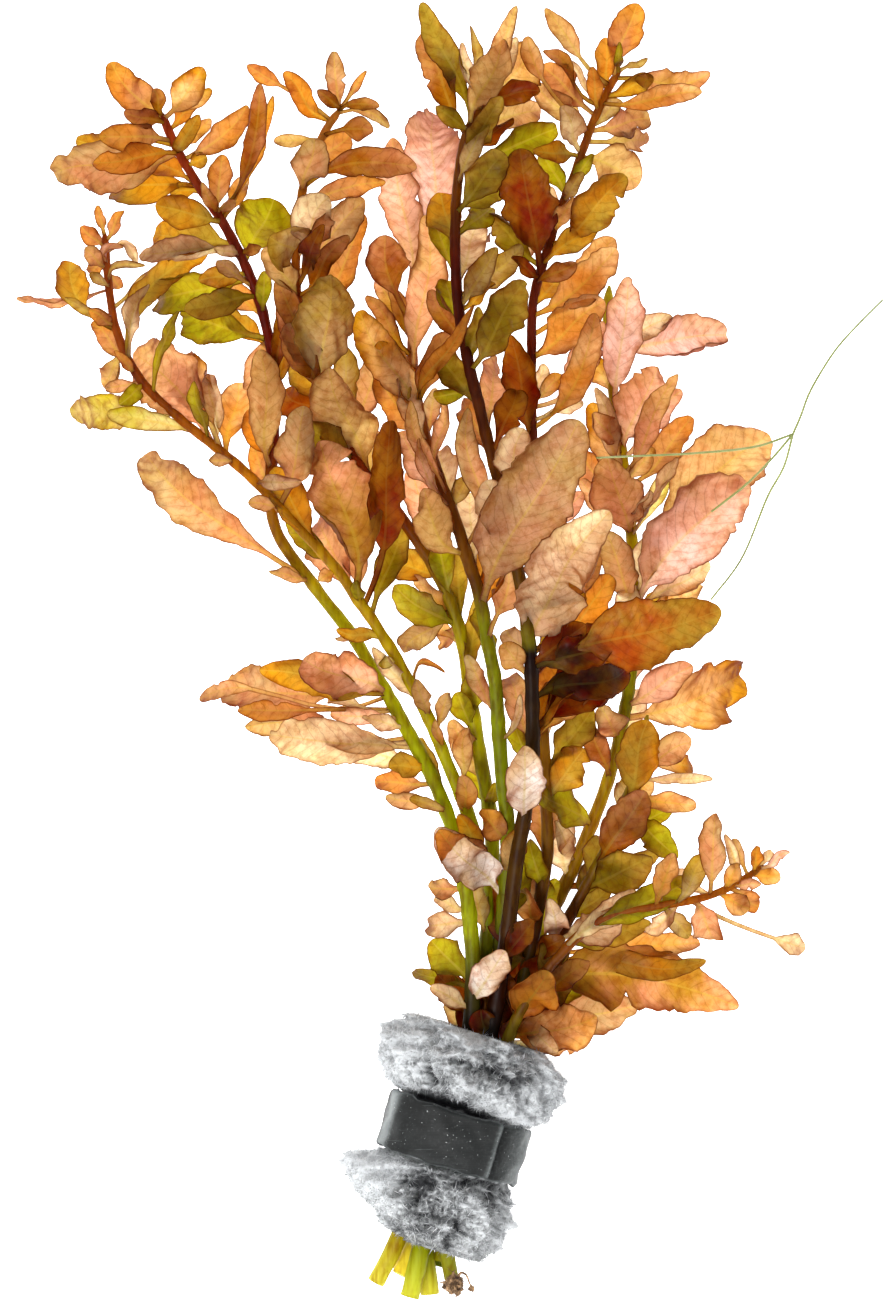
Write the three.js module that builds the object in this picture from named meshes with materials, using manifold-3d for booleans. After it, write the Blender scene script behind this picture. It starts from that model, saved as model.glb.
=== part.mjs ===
// A bunch of ludwigia, a red-leaved water plant: nine cut stems held in a collar of floss wool by a strip
// of soft lead. It lies on its side on a table, cut ends towards -Y and growing tips towards +Y.
// Millimetres, +Z up. The origin is on the table, under the middle of the bunch's outline.
import * as THREE from "three";
import { mergeVertices } from "three/addons/utils/BufferGeometryUtils.js";
import Module from "manifold-3d";

const wasm = await Module();
wasm.setup();

// Places in this file are measured from a point on the table under the lead strip. This one becomes
// the origin.
const outlineMiddle = [-1.4, 97.1];

const stalkWidth = 1;
const smallStalk = 0.5;
const stalkShare = 0.14; // the part of a leaf's length that is stalk, where its row gives none
const leafThickness = 0.8;
const leafFold = 0.14; // how far a blade's edges stand above its midrib, as a share of its half width
const leafBow = 0.06; // how far a leaf arches, as a share of its length
const bladeRings = [0, 0.12, 0.36, 0.68, 0.92]; // where along a large leaf's blade its rings are
const smallBladeRings = [0, 0.34, 0.76];
const leafGap = 0.35; // room between a leaf that is a piece of its own and the stem that carries it
const ownLeafArea = 165; // length times width from which a leaf is a piece of its own
const leastLeafArea = 27; // and below which a leaf is too small for these solids, so it is left out
const skin = 0.3; // room kept round a leaf while its place is looked for
const depthStep = 2; // how far its tip is lifted or lowered at a time, and how often
const depthSteps = 14;
const tableShare = 1 / 8; // the share of such a step by which a tip that lies on the table is lifted
const baseSteps = [0, 1.2, -1.2, 2.4, -2.4]; // and how far its base may slide along the stem
const steepest = 1.3; // rise of a leaf over its length on the table
const highest = 76;
const onTable = null; // in place of a rise: the tip lies on the table
const stemSides = 5;
const stemRings = 20;

// The wool collar and the strip lie along an axis that leans from +Y. Along it: where a ring is, its half
// width and its half depth. The strip is wound on the waist between the two puffs.
const collar = { x: 0.3, y: 0, z: 14, lean: -0.3 };
const woolRings = [
  [-22.5, 11, 9], [-20, 15, 13], [-16.5, 17.3, 15.6], [-12, 18, 15.8], [-8.6, 16.2, 14], [-6.2, 12.6, 10.2],
  [6.2, 12.6, 10.2], [8.8, 17, 14.2], [12, 19.3, 16], [16, 19, 16], [19.5, 16.6, 14], [22.3, 12, 10],
];
const woolSides = 18;
const woolLumps = [0.035, 0.03]; // how far coarse and fine lumps stand out, as shares of its width
const waist = 7; // how far the collar's smooth part reaches to each side of the strip's middle
// The way through the wool that the stems fill, square with round corners: where along it, and how wide.
const core = [[-30, 9], [-17, 6.8], [17, 6.8], [30, 10]];
const coreSides = 12;
const coreRounding = 0.5; // power of a circle's sine and cosine: the smaller, the squarer
const stripRounding = 0.8;
const strip = {
  width: 11.5, thickness: 1, halfWidth: 13.6, halfDepth: 11.2, lapGap: 0.3, from: 118, to: -296, steps: 36,
};

const tuft = { x: -0.2, y: -29, z: 20.6, radius: 1.9, lump: 0.12 };
const threadRadius = 0.25;
const threadRings = 7;
const thread = [
  [[67.3, 141, 33], [68.8, 144.5, 33], [70.5, 149, 32], [73, 153.5, 31], [76, 158, 30], [80, 162.5, 28],
    [85.5, 168, 25]],
  [[67.3, 141, 33], [60, 138.5, 36], [47, 137, 42], [38, 136.5, 47], [28, 136, 52]],
  [[67.3, 141, 33], [63, 136, 33], [58, 131, 34], [51, 125.5, 36]],
  [[67.3, 141, 33], [65.5, 134.5, 32], [62.5, 129, 31], [57, 116, 30], [51, 108, 30]],
];

const tints = {
  pink: 0xe79a8c, salmon: 0xe2946f, peach: 0xe2a873, orange: 0xcf8243, ember: 0xbd5e2c, rust: 0xa9562e,
  brown: 0x84501d, wine: 0x6b1d12, gold: 0xb98a2c, olive: 0x94803a, moss: 0x6a6420, green: 0x9aa23a,
  lime: 0xc2bb55, tan: 0xb98a66, taupe: 0xab9272, mauve: 0xb98c7c, blush: 0xd9b3a2, cream: 0xe6cfae,
  grey: 0xc3b4a8, straw: 0xd8cc80,
};

// Each stem: half its thickness at the cut and at the growing tip, and its way from one to the other.
// Each leaf: the height on its stem, the x and y of its tip, how far its tip stands above where it
// grows, its width and colour, then roll about its midrib in degrees, sweep to the left, and the
// share that is stalk.
const stems = {
  a: {
    cut: 1.45, tip: 0.75, colour: 0x7c6a22,
    route: [
      [-12.4, -27.5, 14.5], [-9.9, -20, 14], [-3.8, 0, 14], [2.7, 21, 14], [5.6, 35, 15.5], [6.4, 48, 18],
      [3.8, 62, 21.5], [-1, 74, 25], [-5.5, 85, 27], [-11, 95, 29], [-16.5, 104, 30], [-24, 114.5, 31],
      [-33, 124.5, 31], [-43, 134.5, 29], [-54, 143.5, 25.5], [-62.5, 151.5, 22.5], [-67.5, 161, 20],
      [-69.3, 171, 18.5], [-70.3, 182, 18],
    ],
    leaves: [
      [178, -74.8, 182.8, 3, 3.6, "rust"], [179.5, -66.3, 186, 2, 2.6, "rust"],
      [177, -63.6, 175, 4, 2.6, "rust", 40, 3], [176.5, -73.2, 173.6, -3, 3.2, "rust"],
      [181, -71.5, 187, 3, 2.2, "orange"], [162, -77.3, 176, -8, 6.8, "olive", 0, 3, 0.3],
      [170, -88.4, 168.8, onTable, 4, "salmon", 55, 1], [162.5, -78, 168.4, 4, 2.4, "blush"],
      [163, -73.2, 166, 5, 3.4, "rust"], [171, -73, 173, 6, 2.2, "blush"],
      [171.5, -62, 174.8, 6, 1.8, "olive", 30, 2], [166, -58.5, 174.3, -6, 3.4, "brown", 30],
      [156, -48.5, 178.5, 9, 6, "olive", 15, 5], [158, -70.5, 150.8, -6, 5, "cream"],
      [152.5, -68, 157.8, 4, 2.2, "rust"], [151, -67, 147, 5, 3.6, "olive"],
      [151.5, -70, 150.3, -4, 2.8, "tan"], [145, -77.5, 145.8, onTable, 7.8, "straw", 0, -1, 0.25],
      [139, -64.5, 157.5, -12, 12.5, "salmon", 0, -2], [137.5, -54.5, 157, -16, 9, "peach", 15],
      [136.5, -43.3, 151.5, -9, 8, "orange"], [139.8, -52, 151.5, 6, 3.4, "moss", 15],
      [149, -55, 165.5, 8, 3, "olive", 40, 2], [135.3, -49, 135.8, 3, 2.6, "olive"],
      [126.5, -41.2, 127.4, 3, 3.4, "salmon"], [131, -30.5, 131.5, 8, 3.4, "cream"],
      [117.5, -36.5, 134, -5, 7, "rust"], [107.5, -27.5, 123.5, -12, 9.5, "salmon"],
      [106.5, -12.8, 143.5, 10, 9, "rust", 15, -2, 0.3], [109, -27, 139.5, 8, 13.5, "gold", 0, -2],
      [107.3, -19.6, 111.8, 3, 3, "olive"], [114, -27.2, 111.8, 3, 2.8, "olive"],
      [99.7, -23.6, 102.2, 5, 2.8, "rust"], [96, -15.2, 95, 3, 2.4, "rust"],
      [84.5, -7.8, 92.2, 4, 3.6, "rust"], [78, -4, 84, 4, 2, "rust"], [64.5, 1.2, 73, 5, 4.4, "salmon"],
      [50, -3.2, 62.2, 10, 8, "cream", 0, -1], [54.5, 0.6, 65.2, 5, 5.2, "tan"],
      [126.5, -30, 146.5, 9, 8.4, "mauve", 0, -1],
    ],
  },
  b: {
    cut: 1.6, tip: 0.85, colour: 0x6e5a20,
    route: [
      [-16.8, -28.6, 16.5], [-10.6, -19.5, 17.9], [-3.8, 0, 17.9], [2.7, 21, 17.9], [3.6, 33, 20],
      [2.8, 45, 22.5], [0.6, 58, 23.5], [-3.4, 70, 23], [-8.7, 80.5, 21.5], [-15, 91.5, 20],
      [-21, 101.5, 19.5], [-29.5, 112.5, 20], [-35.5, 121.5, 21], [-37, 130, 23], [-36.3, 142, 26],
      [-37, 156, 30], [-40, 169, 33], [-45, 181, 36], [-51.5, 191, 38], [-56, 199, 39], [-58.5, 205, 39],
    ],
    leaves: [
      [203, -68.3, 214.6, 5, 7, "orange"], [203.5, -50, 213.5, 6, 7.2, "salmon"],
      [202.5, -65.6, 204.6, 8, 4, "ember"], [204, -59.8, 209.3, 4, 3.2, "rust"],
      [201, -51.3, 207.8, -4, 4, "ember"], [199, -70.5, 199.8, 7, 5.4, "rust", 0, -1.5],
      [197, -79.8, 193, -4, 9.5, "taupe"], [198, -75.5, 199.8, -9, 5.5, "gold"],
      [196.5, -71.5, 194.5, 12, 5.5, "olive"], [190, -68, 191.4, -10, 8.8, "gold", 0, 2],
      [183, -59.5, 186.3, 5, 6.5, "lime"], [178.5, -60, 181, -12, 9.5, "olive"],
      [195.3, -41.2, 206, 5, 7.5, "orange", 15, -2], [197, -50.7, 204, 8, 3.2, "olive"],
      [184.5, -46.2, 196.3, 6, 4.8, "rust"], [184.5, -50.2, 190.6, 9, 2.6, "brown"],
      [184.8, -43.5, 187, 8, 2.8, "brown"], [184, -38.8, 210.5, 3, 4, "olive", 20, -2.5],
      [183.5, -41, 192, -4, 3.6, "orange"], [183, -36.3, 208.5, -6, 3, "tan", 0, -1],
      [176.5, -47.8, 177.8, 6, 2.6, "olive"], [177, -38.5, 178, 5, 2.8, "brown"],
      [175, -36.2, 188, -8, 12.5, "lime"], [159.5, -54.2, 166.5, -9, 9.5, "lime", 0, 2],
      [168, -53.8, 165.8, 4, 5.5, "brown"], [164, -46, 171, -4, 7, "orange"],
      [172, -59.3, 168, -15, 7.5, "lime"], [170, -47.3, 175.3, 6, 4.2, "orange"],
      [173, -51, 171.5, 2, 4.6, "olive"], [165, -38, 173.3, 7, 3.2, "olive"],
      [160, -41.7, 150, -5, 5, "orange"], [134, -39, 157.8, 9, 7, "tan"], [136, -41.2, 146, 5, 6, "tan"],
      [111.3, -62, 137.3, -8, 11.5, "salmon", 0, 3, 0.15], [112, -37.2, 113.7, 4, 2.8, "olive"],
      [89, -30, 96.3, 5, 9, "salmon"], [89.5, -46, 91.5, onTable, 12, "peach", 0, 1.5],
      [89.2, -39, 94, 10, 7.5, "moss"], [88.5, -51.3, 88, -10, 3.6, "salmon"],
      [79.5, -37, 81, -8, 9, "blush", 0, 1], [80.5, -42.3, 82.5, -18, 6.5, "salmon"],
      [82, -18.6, 84.6, 4, 3.2, "rust"], [74.5, -13.2, 74.5, 3, 5, "orange"],
      [71, -16, 71.3, -6, 4.6, "salmon"], [66, -9, 68.4, 5, 2.4, "rust"],
      [100.5, -24, 100.3, 3, 1.6, "green"], [50, -5, 50.2, -3, 4.4, "tan"],
      [43, -5.2, 42.8, -6, 5, "blush"], [31, -4.8, 39.8, -4, 6.8, "gold"], [30, -8.3, 33.5, -8, 3.8, "gold"],
      [26, -5, 30.5, 3, 4, "cream"], [27.5, 10, 38, 9, 6.6, "grey"],
    ],
  },
  c: {
    cut: 1.6, tip: 0.9, colour: 0x87832a,
    route: [
      [-5, -31.4, 13.5], [-5.9, -20, 14], [0.3, 0, 14], [6.8, 21, 14], [8.9, 34, 15.8], [9.8, 47, 19],
      [10.6, 60, 23], [9.7, 70, 27], [8.8, 81, 30], [8, 91, 33], [6.3, 101, 35], [4.8, 109, 36],
      [2.3, 117, 37], [-1, 126.5, 37], [-4.8, 137, 35], [-7.6, 148, 32], [-8.5, 160, 29],
      [-8.3, 173, 26], [-7, 186, 24],
    ],
    leaves: [
      [157, -13.8, 180.5, 7, 10, "ember", 0, 3, 0.35], [153, -6, 184.5, 5, 7, "salmon", 0, -1],
      [165, -12.5, 200.5, -10, 7.8, "pink"], [172, -4.2, 206, onTable, 9, "pink"],
      [160, -13.2, 170.5, 5, 3.2, "brown"], [146.5, -0.5, 161.5, 8, 5.6, "mauve", 0, 1],
      [145, 3.8, 166.3, 16, 3.6, "cream", 15, 1.5], [140, -3.8, 150.2, -6, 3.4, "pink"],
      [143, -19, 165.5, 3, 7.6, "blush"], [144, -13.8, 160, 8, 5.8, "tan"],
      [124.5, -2.8, 137.8, -8, 7, "gold"], [112.5, 3, 129.3, -8, 8, "peach"],
      [117, -6.2, 130, 6, 7.5, "mauve", 0, 2.5], [106.5, 24.5, 143.3, 18, 15.5, "taupe", 0, 1],
      [80, 13, 89.2, 5, 2, "tan", 25, -1.5], [60, 4.8, 65.5, 6, 5.4, "tan"],
      [53, 12.8, 62.6, 11, 4.6, "gold"],
    ],
  },
  d: {
    cut: 1.7, tip: 0.75, colour: 0x8d8f2c,
    route: [
      [-13.6, -25.2, 9.6], [-10, -20, 10.1], [-3.8, 0, 10.1], [2.7, 21, 10.1], [5.5, 34, 10.6],
      [7.2, 48, 12.5], [7.5, 60, 15], [6, 71, 18], [4.3, 81, 20], [2.8, 91, 22], [1.2, 101, 24],
      [-1.5, 109, 26], [-6, 117.5, 27], [-12, 126, 28], [-18.5, 134, 30], [-24.5, 144, 32],
      [-29, 156, 34], [-31.5, 170, 36], [-31, 184, 37], [-29, 194, 38], [-25.5, 201.5, 38], [-22.5, 206, 38],
    ],
    leaves: [
      [205, -24, 216.8, 4, 4, "peach"], [203, -41.3, 214.2, 2, 3.2, "olive", 0, -2.5, 0.6],
      [205.5, -27.3, 209, 6, 2.8, "ember"], [205.6, -17.6, 213, 3, 2.4, "rust"],
      [205, -15, 205.8, 6, 2.6, "ember", 0, 1], [204.5, -13.2, 201.8, -2, 2.4, "orange", 0, 2],
      [200, -16.2, 201, 4, 4.6, "olive", 0, 0, 0.4], [199, -36, 199.5, -3, 2.8, "orange"],
      [189, -28, 199.5, 5, 7.5, "tan"], [186, -13.8, 190.8, 6, 4.2, "olive", 0, 1],
      [190, -7.6, 193.5, 8, 6.8, "brown", 0, 4], [194, -21, 200.5, -5, 5, "blush"],
      [177, -36.8, 180, 6, 9, "tan"], [176, -25, 187.8, 8, 8.6, "tan"], [172, -18, 187.5, 3, 7.5, "mauve"],
      [170, -26, 182.2, 13, 4.2, "wine"], [168, -21, 180, 8, 4.4, "brown"],
      [149, -24.6, 172.3, 13, 11.5, "taupe"], [132.5, -25, 154, 4, 11.5, "tan"],
      [136, -30.2, 142.6, 6, 6.6, "rust"], [150, -33.2, 163, 5, 6.6, "brown"],
      [158, -35.3, 171.5, 5, 4.8, "brown"], [146, -32, 157, -5, 7, "rust"],
      [143, -34, 150, -9, 7, "brown"], [112.5, -13.6, 116.3, -4, 6.4, "gold"],
      [102.8, -12, 111, 4, 6.6, "olive", 0, 1], [107, -10.2, 97.5, -8, 4.8, "salmon"],
      [103.3, -3.2, 98, -5, 3.4, "salmon"], [85, 3.6, 93.2, 4, 4.6, "tan"],
      [79, 0.4, 89.6, 4, 4.6, "ember", 0, 0, 0.4], [66, 8, 71.5, 5, 3.2, "ember"],
      [50, 7.5, 57.5, -4, 3.6, "brown"], [25, 1.5, 32, -2, 4, "brown"],
    ],
  },
  e: {
    cut: 1.7, tip: 0.85, colour: 0x4a2c14,
    route: [
      [-9, -31.6, 17], [-6.3, -20, 17.9], [0.3, 0, 17.9], [6.8, 21, 17.9], [9.2, 33, 20], [10.8, 44, 23.5],
      [12.4, 57, 27.5], [14.3, 68, 31], [15.5, 80, 34], [15.2, 92, 37], [14.5, 101, 39], [12.8, 112, 41],
      [10.5, 123, 43], [8, 134, 44], [5, 145, 44.5], [2.7, 155, 45], [0.6, 166, 45], [0, 178, 45],
      [0.5, 190, 45], [2.2, 200, 44], [5.2, 205.5, 43], [8, 209, 42],
    ],
    leaves: [
      [202, -6.6, 226.2, 5, 5, "olive", 25, 1], [200, -6.8, 220.3, -4, 6.2, "gold", 0, 1.5],
      [205, 1.4, 218.3, 4, 2.8, "brown"], [206.5, 3, 221.8, 2, 2.1, "rust"],
      [204.5, 12.1, 225.3, 9, 4.2, "tan"], [208, 12.2, 219.5, 2, 3.8, "tan"],
      [207.5, 16.8, 208.6, 7, 5, "moss"], [206, 16.3, 217.3, -7, 9.5, "peach"],
      [202, 17, 205.5, -10, 6, "salmon"], [184.5, 9.6, 196.2, 8, 7.4, "moss"],
      [194, 9.2, 207.3, 11, 5, "moss"], [193, 20.2, 201.8, -8, 6.4, "green"],
      [177, -2.8, 188.8, -6, 7.4, "olive"], [180, 7.2, 186, -10, 5, "green"],
      [190, 6.2, 203.6, 7, 4.2, "tan", 30], [201, -3.8, 205.5, 6, 3.6, "brown"],
      [170, 4.8, 183.3, -20, 7.6, "salmon"], [162.5, -2.4, 171.6, -7, 5.8, "olive"],
      [165, 8.3, 177.6, 6, 5, "moss"], [153, 13.8, 171, 6, 8.6, "moss"],
      [149.5, -4.2, 148.4, -6, 3.6, "olive"], [135, 1.6, 147.7, -9, 5, "salmon"],
      [141, 8.3, 155.5, -12, 5.8, "orange"], [128, 13.6, 141.8, 7, 7.4, "mauve"],
      [119, 5.9, 131.5, 6, 8.4, "tan"], [100, 30.6, 125.3, 18, 14.5, "blush", 0, 1.5, 0.03],
      [97.5, 31, 103.5, -4, 4.8, "brown"], [94.5, 52.7, 106, 6, 13, "ember", 0, -2, 0.3],
      [92, 9.3, 99.2, 3, 5.4, "rust"], [80, 19, 91.3, -5, 5.6, "gold"], [79.5, 27.5, 94.5, -8, 7.5, "brown"],
      [96, 26, 115.5, -6, 8, "gold"], [103, 28.8, 116.5, 2, 5, "brown"], [64, 13.8, 79, 12, 8, "grey"],
      [36, 15.8, 44, 5, 5, "brown"],
    ],
  },
  f: {
    cut: 1.5, tip: 0.75, colour: 0x7c4a1c,
    route: [
      [-2.9, -24.6, 13.8], [-1.8, -20, 14], [4.4, 0, 14], [10.9, 21, 14], [14, 33, 14.5], [16.5, 45, 16],
      [18.4, 57, 18], [18.3, 68, 20], [17.8, 80, 22], [17.7, 92, 24], [18, 104, 26], [17.5, 117, 28],
      [16.3, 130, 31], [15.3, 142, 34], [15.2, 155, 36], [15.7, 168, 38], [18.5, 178, 39],
      [21.5, 187, 39], [24.5, 195, 39], [27.5, 203, 39], [30.5, 209.5, 39], [33, 213.5, 39],
    ],
    leaves: [
      [200.5, 14.3, 219.8, 3, 4.8, "gold", 0, -3, 0.58], [204, 17.2, 214.3, -5, 6.4, "brown"],
      [206, 22.6, 215.5, -8, 3.6, "orange"], [196.5, 21, 205.8, 5, 5.4, "orange"],
      [196, 15.4, 197, 6, 4.2, "olive"], [210, 17.8, 225.3, 3, 4.8, "tan", 0, -2.5, 0.4],
      [211.5, 36.2, 226.2, 5, 7.4, "peach"], [212.5, 32.6, 218.4, 8, 2, "rust"],
      [209, 29.8, 219.6, 2, 4.8, "orange"], [213, 38.2, 215.4, 4, 1.8, "tan"],
      [211.5, 50.8, 212.9, -4, 5.8, "tan"], [206.5, 49, 208.8, 3, 5, "orange"],
      [205, 27.2, 213.6, 6, 3.4, "olive"], [201, 38.8, 204, -9, 6.4, "blush"],
      [199, 38.6, 199.6, -13, 4.8, "blush"], [195.5, 36.6, 190.5, 4, 9.4, "tan", 0, 1],
      [178, 33.7, 192, 8, 8.4, "gold", 0, -1], [180.5, 23.3, 187.8, 8, 3.8, "orange"],
      [187, 25.4, 192.6, 7, 3, "brown"], [173, 12.8, 197.3, 9, 10.2, "brown"],
      [173.8, 6.8, 184.3, 5, 5.6, "brown"], [177.5, 19, 190.3, -5, 3.4, "cream"],
      [176, 15.8, 187, -3, 3.2, "orange"], [139, 11, 160.6, 5, 6.8, "wine"],
      [156, 29.7, 167.3, 4, 8.4, "orange"], [160, 31.2, 180.3, -4, 6.8, "orange", 0, -2, 0.3],
      [142, 27.8, 164.8, 8, 6.8, "rust", 0, -2], [171, 23.8, 174.8, 7, 4, "brown"],
      [171.5, 11.2, 175.8, 5, 3, "brown"], [166, 21.3, 172.3, -6, 4.6, "gold"],
      [68, 25.8, 78.3, 5, 8, "peach"], [50, 14.8, 60, 3, 4.6, "gold"], [42, 13.8, 50.3, 4, 5.4, "brown"],
      [36, 22, 40.3, 4, 4.6, "wine"], [26, 20.5, 32, 3, 4, "rust"],
    ],
  },
  g: {
    cut: 1.6, tip: 0.95, colour: 0x8f8a30,
    route: [
      [-7.2, -27.4, 9.8], [-5.9, -20, 10.1], [0.3, 0, 10.1], [6.8, 21, 10.1], [11, 31, 9.2], [17, 41, 8.6],
      [22, 50.5, 10], [26.5, 60.5, 12], [30.5, 71, 14], [33, 81, 16], [35, 91, 17], [36.3, 102, 18],
      [36.3, 112, 19], [35, 123, 19], [33.8, 134, 18.5], [32.7, 143, 18], [31.3, 153, 17],
      [30.6, 163, 16], [31, 171, 15],
    ],
    leaves: [
      [147, 34.6, 172.6, 5, 8, "pink"], [158, 54.7, 161.5, onTable, 8.6, "pink", 0, -1, 0.04],
      [138, 40.5, 154.5, 6, 10, "salmon"], [133, 44.5, 153, 10, 4.6, "rust", 25],
      [130, 47.6, 144.7, -4, 5.4, "rust"], [120.5, 44.5, 136.3, 6, 4.8, "brown", 25],
      [122, 38.8, 129.8, 9, 4, "ember"], [109, 39.8, 121.5, 4, 5.6, "peach"],
      [107, 58.3, 131.5, 5, 14.5, "pink", 0, 1, 0.1], [116, 63.2, 141, -8, 14.5, "tan", 0, 1.5],
      [104, 30.3, 121.6, 7, 6.6, "rust"],
      [112, 33, 103.5, 5, 5.2, "tan"], [121, 30.3, 136.6, 10, 10, "mauve"],
      [138.5, 27.5, 145.3, 6, 5.2, "gold"], [84, 57.3, 93, onTable, 12.5, "peach", 0, -1.5],
      [86.5, 47.6, 94.8, 4, 6.6, "salmon"], [80, 29, 86.8, 8, 6.6, "blush"], [72, 27, 83.5, 9, 4.6, "mauve"],
      [62.5, 16.8, 70, 10, 7.4, "ember"], [55, 20, 63.8, 8, 3.8, "mauve"], [47.5, 14.5, 53, 7, 5, "brown"],
      [50, 33.2, 52.5, -3, 4.2, "wine"],
    ],
  },
  h: {
    cut: 1.5, tip: 0.9, colour: 0x6b6a26,
    route: [
      [-3.4, -25.8, 9.9], [-1.8, -20, 10.1], [4.4, 0, 10.1], [10.9, 21, 10.1], [16, 31, 10.5],
      [20.5, 39.5, 12.5], [24.5, 47.5, 15], [28.3, 54.5, 18], [32, 62, 21], [35, 70, 23], [37.3, 78, 24],
      [38.5, 85, 24.5],
    ],
    leaves: [
      [34, 33.2, 46.8, 17, 7.6, "blush", 0, 1, 0.35], [66, 44.5, 56.5, 5, 5.6, "salmon"],
      [68, 48.2, 66.8, 4, 5.2, "orange"], [72, 51.5, 72.2, 2, 2.2, "salmon"], [63, 35.5, 73, -5, 5, "salmon"],
      [75, 47.3, 79.5, -3, 9, "salmon"], [77, 47.6, 74.5, -8, 4.2, "ember"], [68, 38.5, 84, 6, 8, "olive"],
      [55, 38, 69.8, 9, 8, "brown"], [50, 39.3, 56.6, 10, 8.4, "olive"],
      [31.5, 57.2, 26, -8, 12.5, "gold", 0, 2], [37, 49.3, 39, -9, 5.2, "orange"],
      [38, 39.3, 43.3, 5, 5.6, "olive"], [24, 36.5, 26.5, -6, 8.5, "salmon", 0, -1],
      [24, 20.5, 17.5, 14, 4.2, "cream"],
    ],
  },
  i: {
    cut: 1.5, tip: 0.65, colour: 0xa06626,
    route: [
      [-0.8, -28, 16.5], [-1.6, -20, 17.9], [4.4, 0, 17.9], [10.9, 21, 17.9], [15, 29, 20], [20, 36, 23],
      [26, 42, 25.5], [33, 45.5, 27], [40, 46.8, 28], [47, 48, 28.5], [53, 49.8, 28.5], [58, 52.5, 28],
      [61.5, 55, 27.5],
    ],
    leaves: [
      [49, 52, 65.5, 4, 5.6, "olive"], [52, 53.8, 61.3, 3, 2.2, "rust"], [52.8, 55.6, 60.3, -3, 2.2, "rust"],
      [53.6, 60.2, 59, 2, 3, "ember"], [54.3, 63.2, 57.9, -3, 2.2, "orange"],
      [54.5, 66.8, 57.7, 2, 2.2, "rust"], [53, 65, 53, -2, 3.8, "orange"], [50.5, 60.8, 46.8, -5, 5, "tan"],
      [51, 61, 51.3, 4, 2.4, "pink"], [49, 42, 53.8, -4, 4.6, "peach"], [48.2, 51.6, 40.2, -6, 6, "salmon"],
      [47.5, 38, 42.3, -4, 5, "cream", 0, 1], [48, 70.2, 38.2, -12, 4, "peach", 0, 2],
      [23, 18.7, 33.8, 5, 9, "orange"],
    ],
  },
};

// Geometry

const up = new THREE.Vector3(0, 0, 1);

// A closed body from rings of points that follow one another, shut flat at both ends, or drawn to a point.
function loft(rings, point) {
  const faces = [];
  const sides = rings[0].length;
  const face = (a, b, c) => faces.push([a, b, c]);
  rings.slice(1).forEach((ring, i) => {
    for (let k = 0; k < sides; k++) {
      const next = (k + 1) % sides;
      face(rings[i][k], rings[i][next], ring[next]);
      face(rings[i][k], ring[next], ring[k]);
    }
  });
  const first = rings[0];
  const last = rings[rings.length - 1];
  for (let k = 1; k < sides - 1; k++) {
    face(first[0], first[k + 1], first[k]);
    if (!point) face(last[0], last[k], last[k + 1]);
  }
  if (point) for (let k = 0; k < sides; k++) face(last[k], last[(k + 1) % sides], point);
  const origin = first[0];
  const swept = faces.reduce((sum, [a, b, c]) => {
    const [p, q, r] = [a, b, c].map((corner) => corner.clone().sub(origin));
    return sum + p.dot(q.cross(r));
  }, 0);
  const corners = faces.flatMap((triangle) => (swept > 0 ? triangle : triangle.toReversed()));
  return new THREE.BufferGeometry().setFromPoints(corners);
}

function solidOf(geometry) {
  const merged = mergeVertices(geometry, 1e-4);
  return new wasm.Manifold(new wasm.Mesh({
    numProp: 3,
    vertProperties: new Float32Array(merged.attributes.position.array),
    triVerts: new Uint32Array(merged.index.array),
  }));
}

function geometryOf(solid) {
  const mesh = solid.getMesh();
  const geometry = new THREE.BufferGeometry();
  geometry.setAttribute("position", new THREE.BufferAttribute(mesh.vertProperties, 3));
  geometry.setIndex(new THREE.BufferAttribute(mesh.triVerts, 1));
  return geometry.toNonIndexed();
}

// A round bar along a curve, its radius given for each ring.
function bar(curve, rings, sides, radiusAt) {
  const frames = curve.computeFrenetFrames(rings, false);
  const loops = [];
  for (let i = 0; i <= rings; i++) {
    const middle = curve.getPointAt(i / rings);
    const loop = [];
    for (let k = 0; k < sides; k++) {
      const angle = (2 * Math.PI * k) / sides;
      loop.push(middle.clone()
        .addScaledVector(frames.normals[i], radiusAt(i / rings) * Math.cos(angle))
        .addScaledVector(frames.binormals[i], radiusAt(i / rings) * Math.sin(angle)));
    }
    loops.push(loop);
  }
  return loft(loops);
}

const routeOf = (points) => new THREE.CatmullRomCurve3(points.map((p) => new THREE.Vector3(...p)));

// A stem's middle, heading and radius at a height up the bunch.
function stemAt(stem, height) {
  let low = 0;
  let high = 1;
  for (let i = 0; i < 24; i++) {
    const middle = (low + high) / 2;
    if (stem.curve.getPointAt(middle).y < height) low = middle;
    else high = middle;
  }
  return {
    point: stem.curve.getPointAt(low),
    heading: stem.curve.getTangentAt(low),
    radius: THREE.MathUtils.lerp(stem.cut, stem.tip, low),
  };
}

// A blade's half width along its length as a share of its widest: a wedge to the base, a round tip.
const bladeShape = (share) => Math.sin(Math.PI * share ** 1.08) ** (1 - 0.55 * share);

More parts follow.
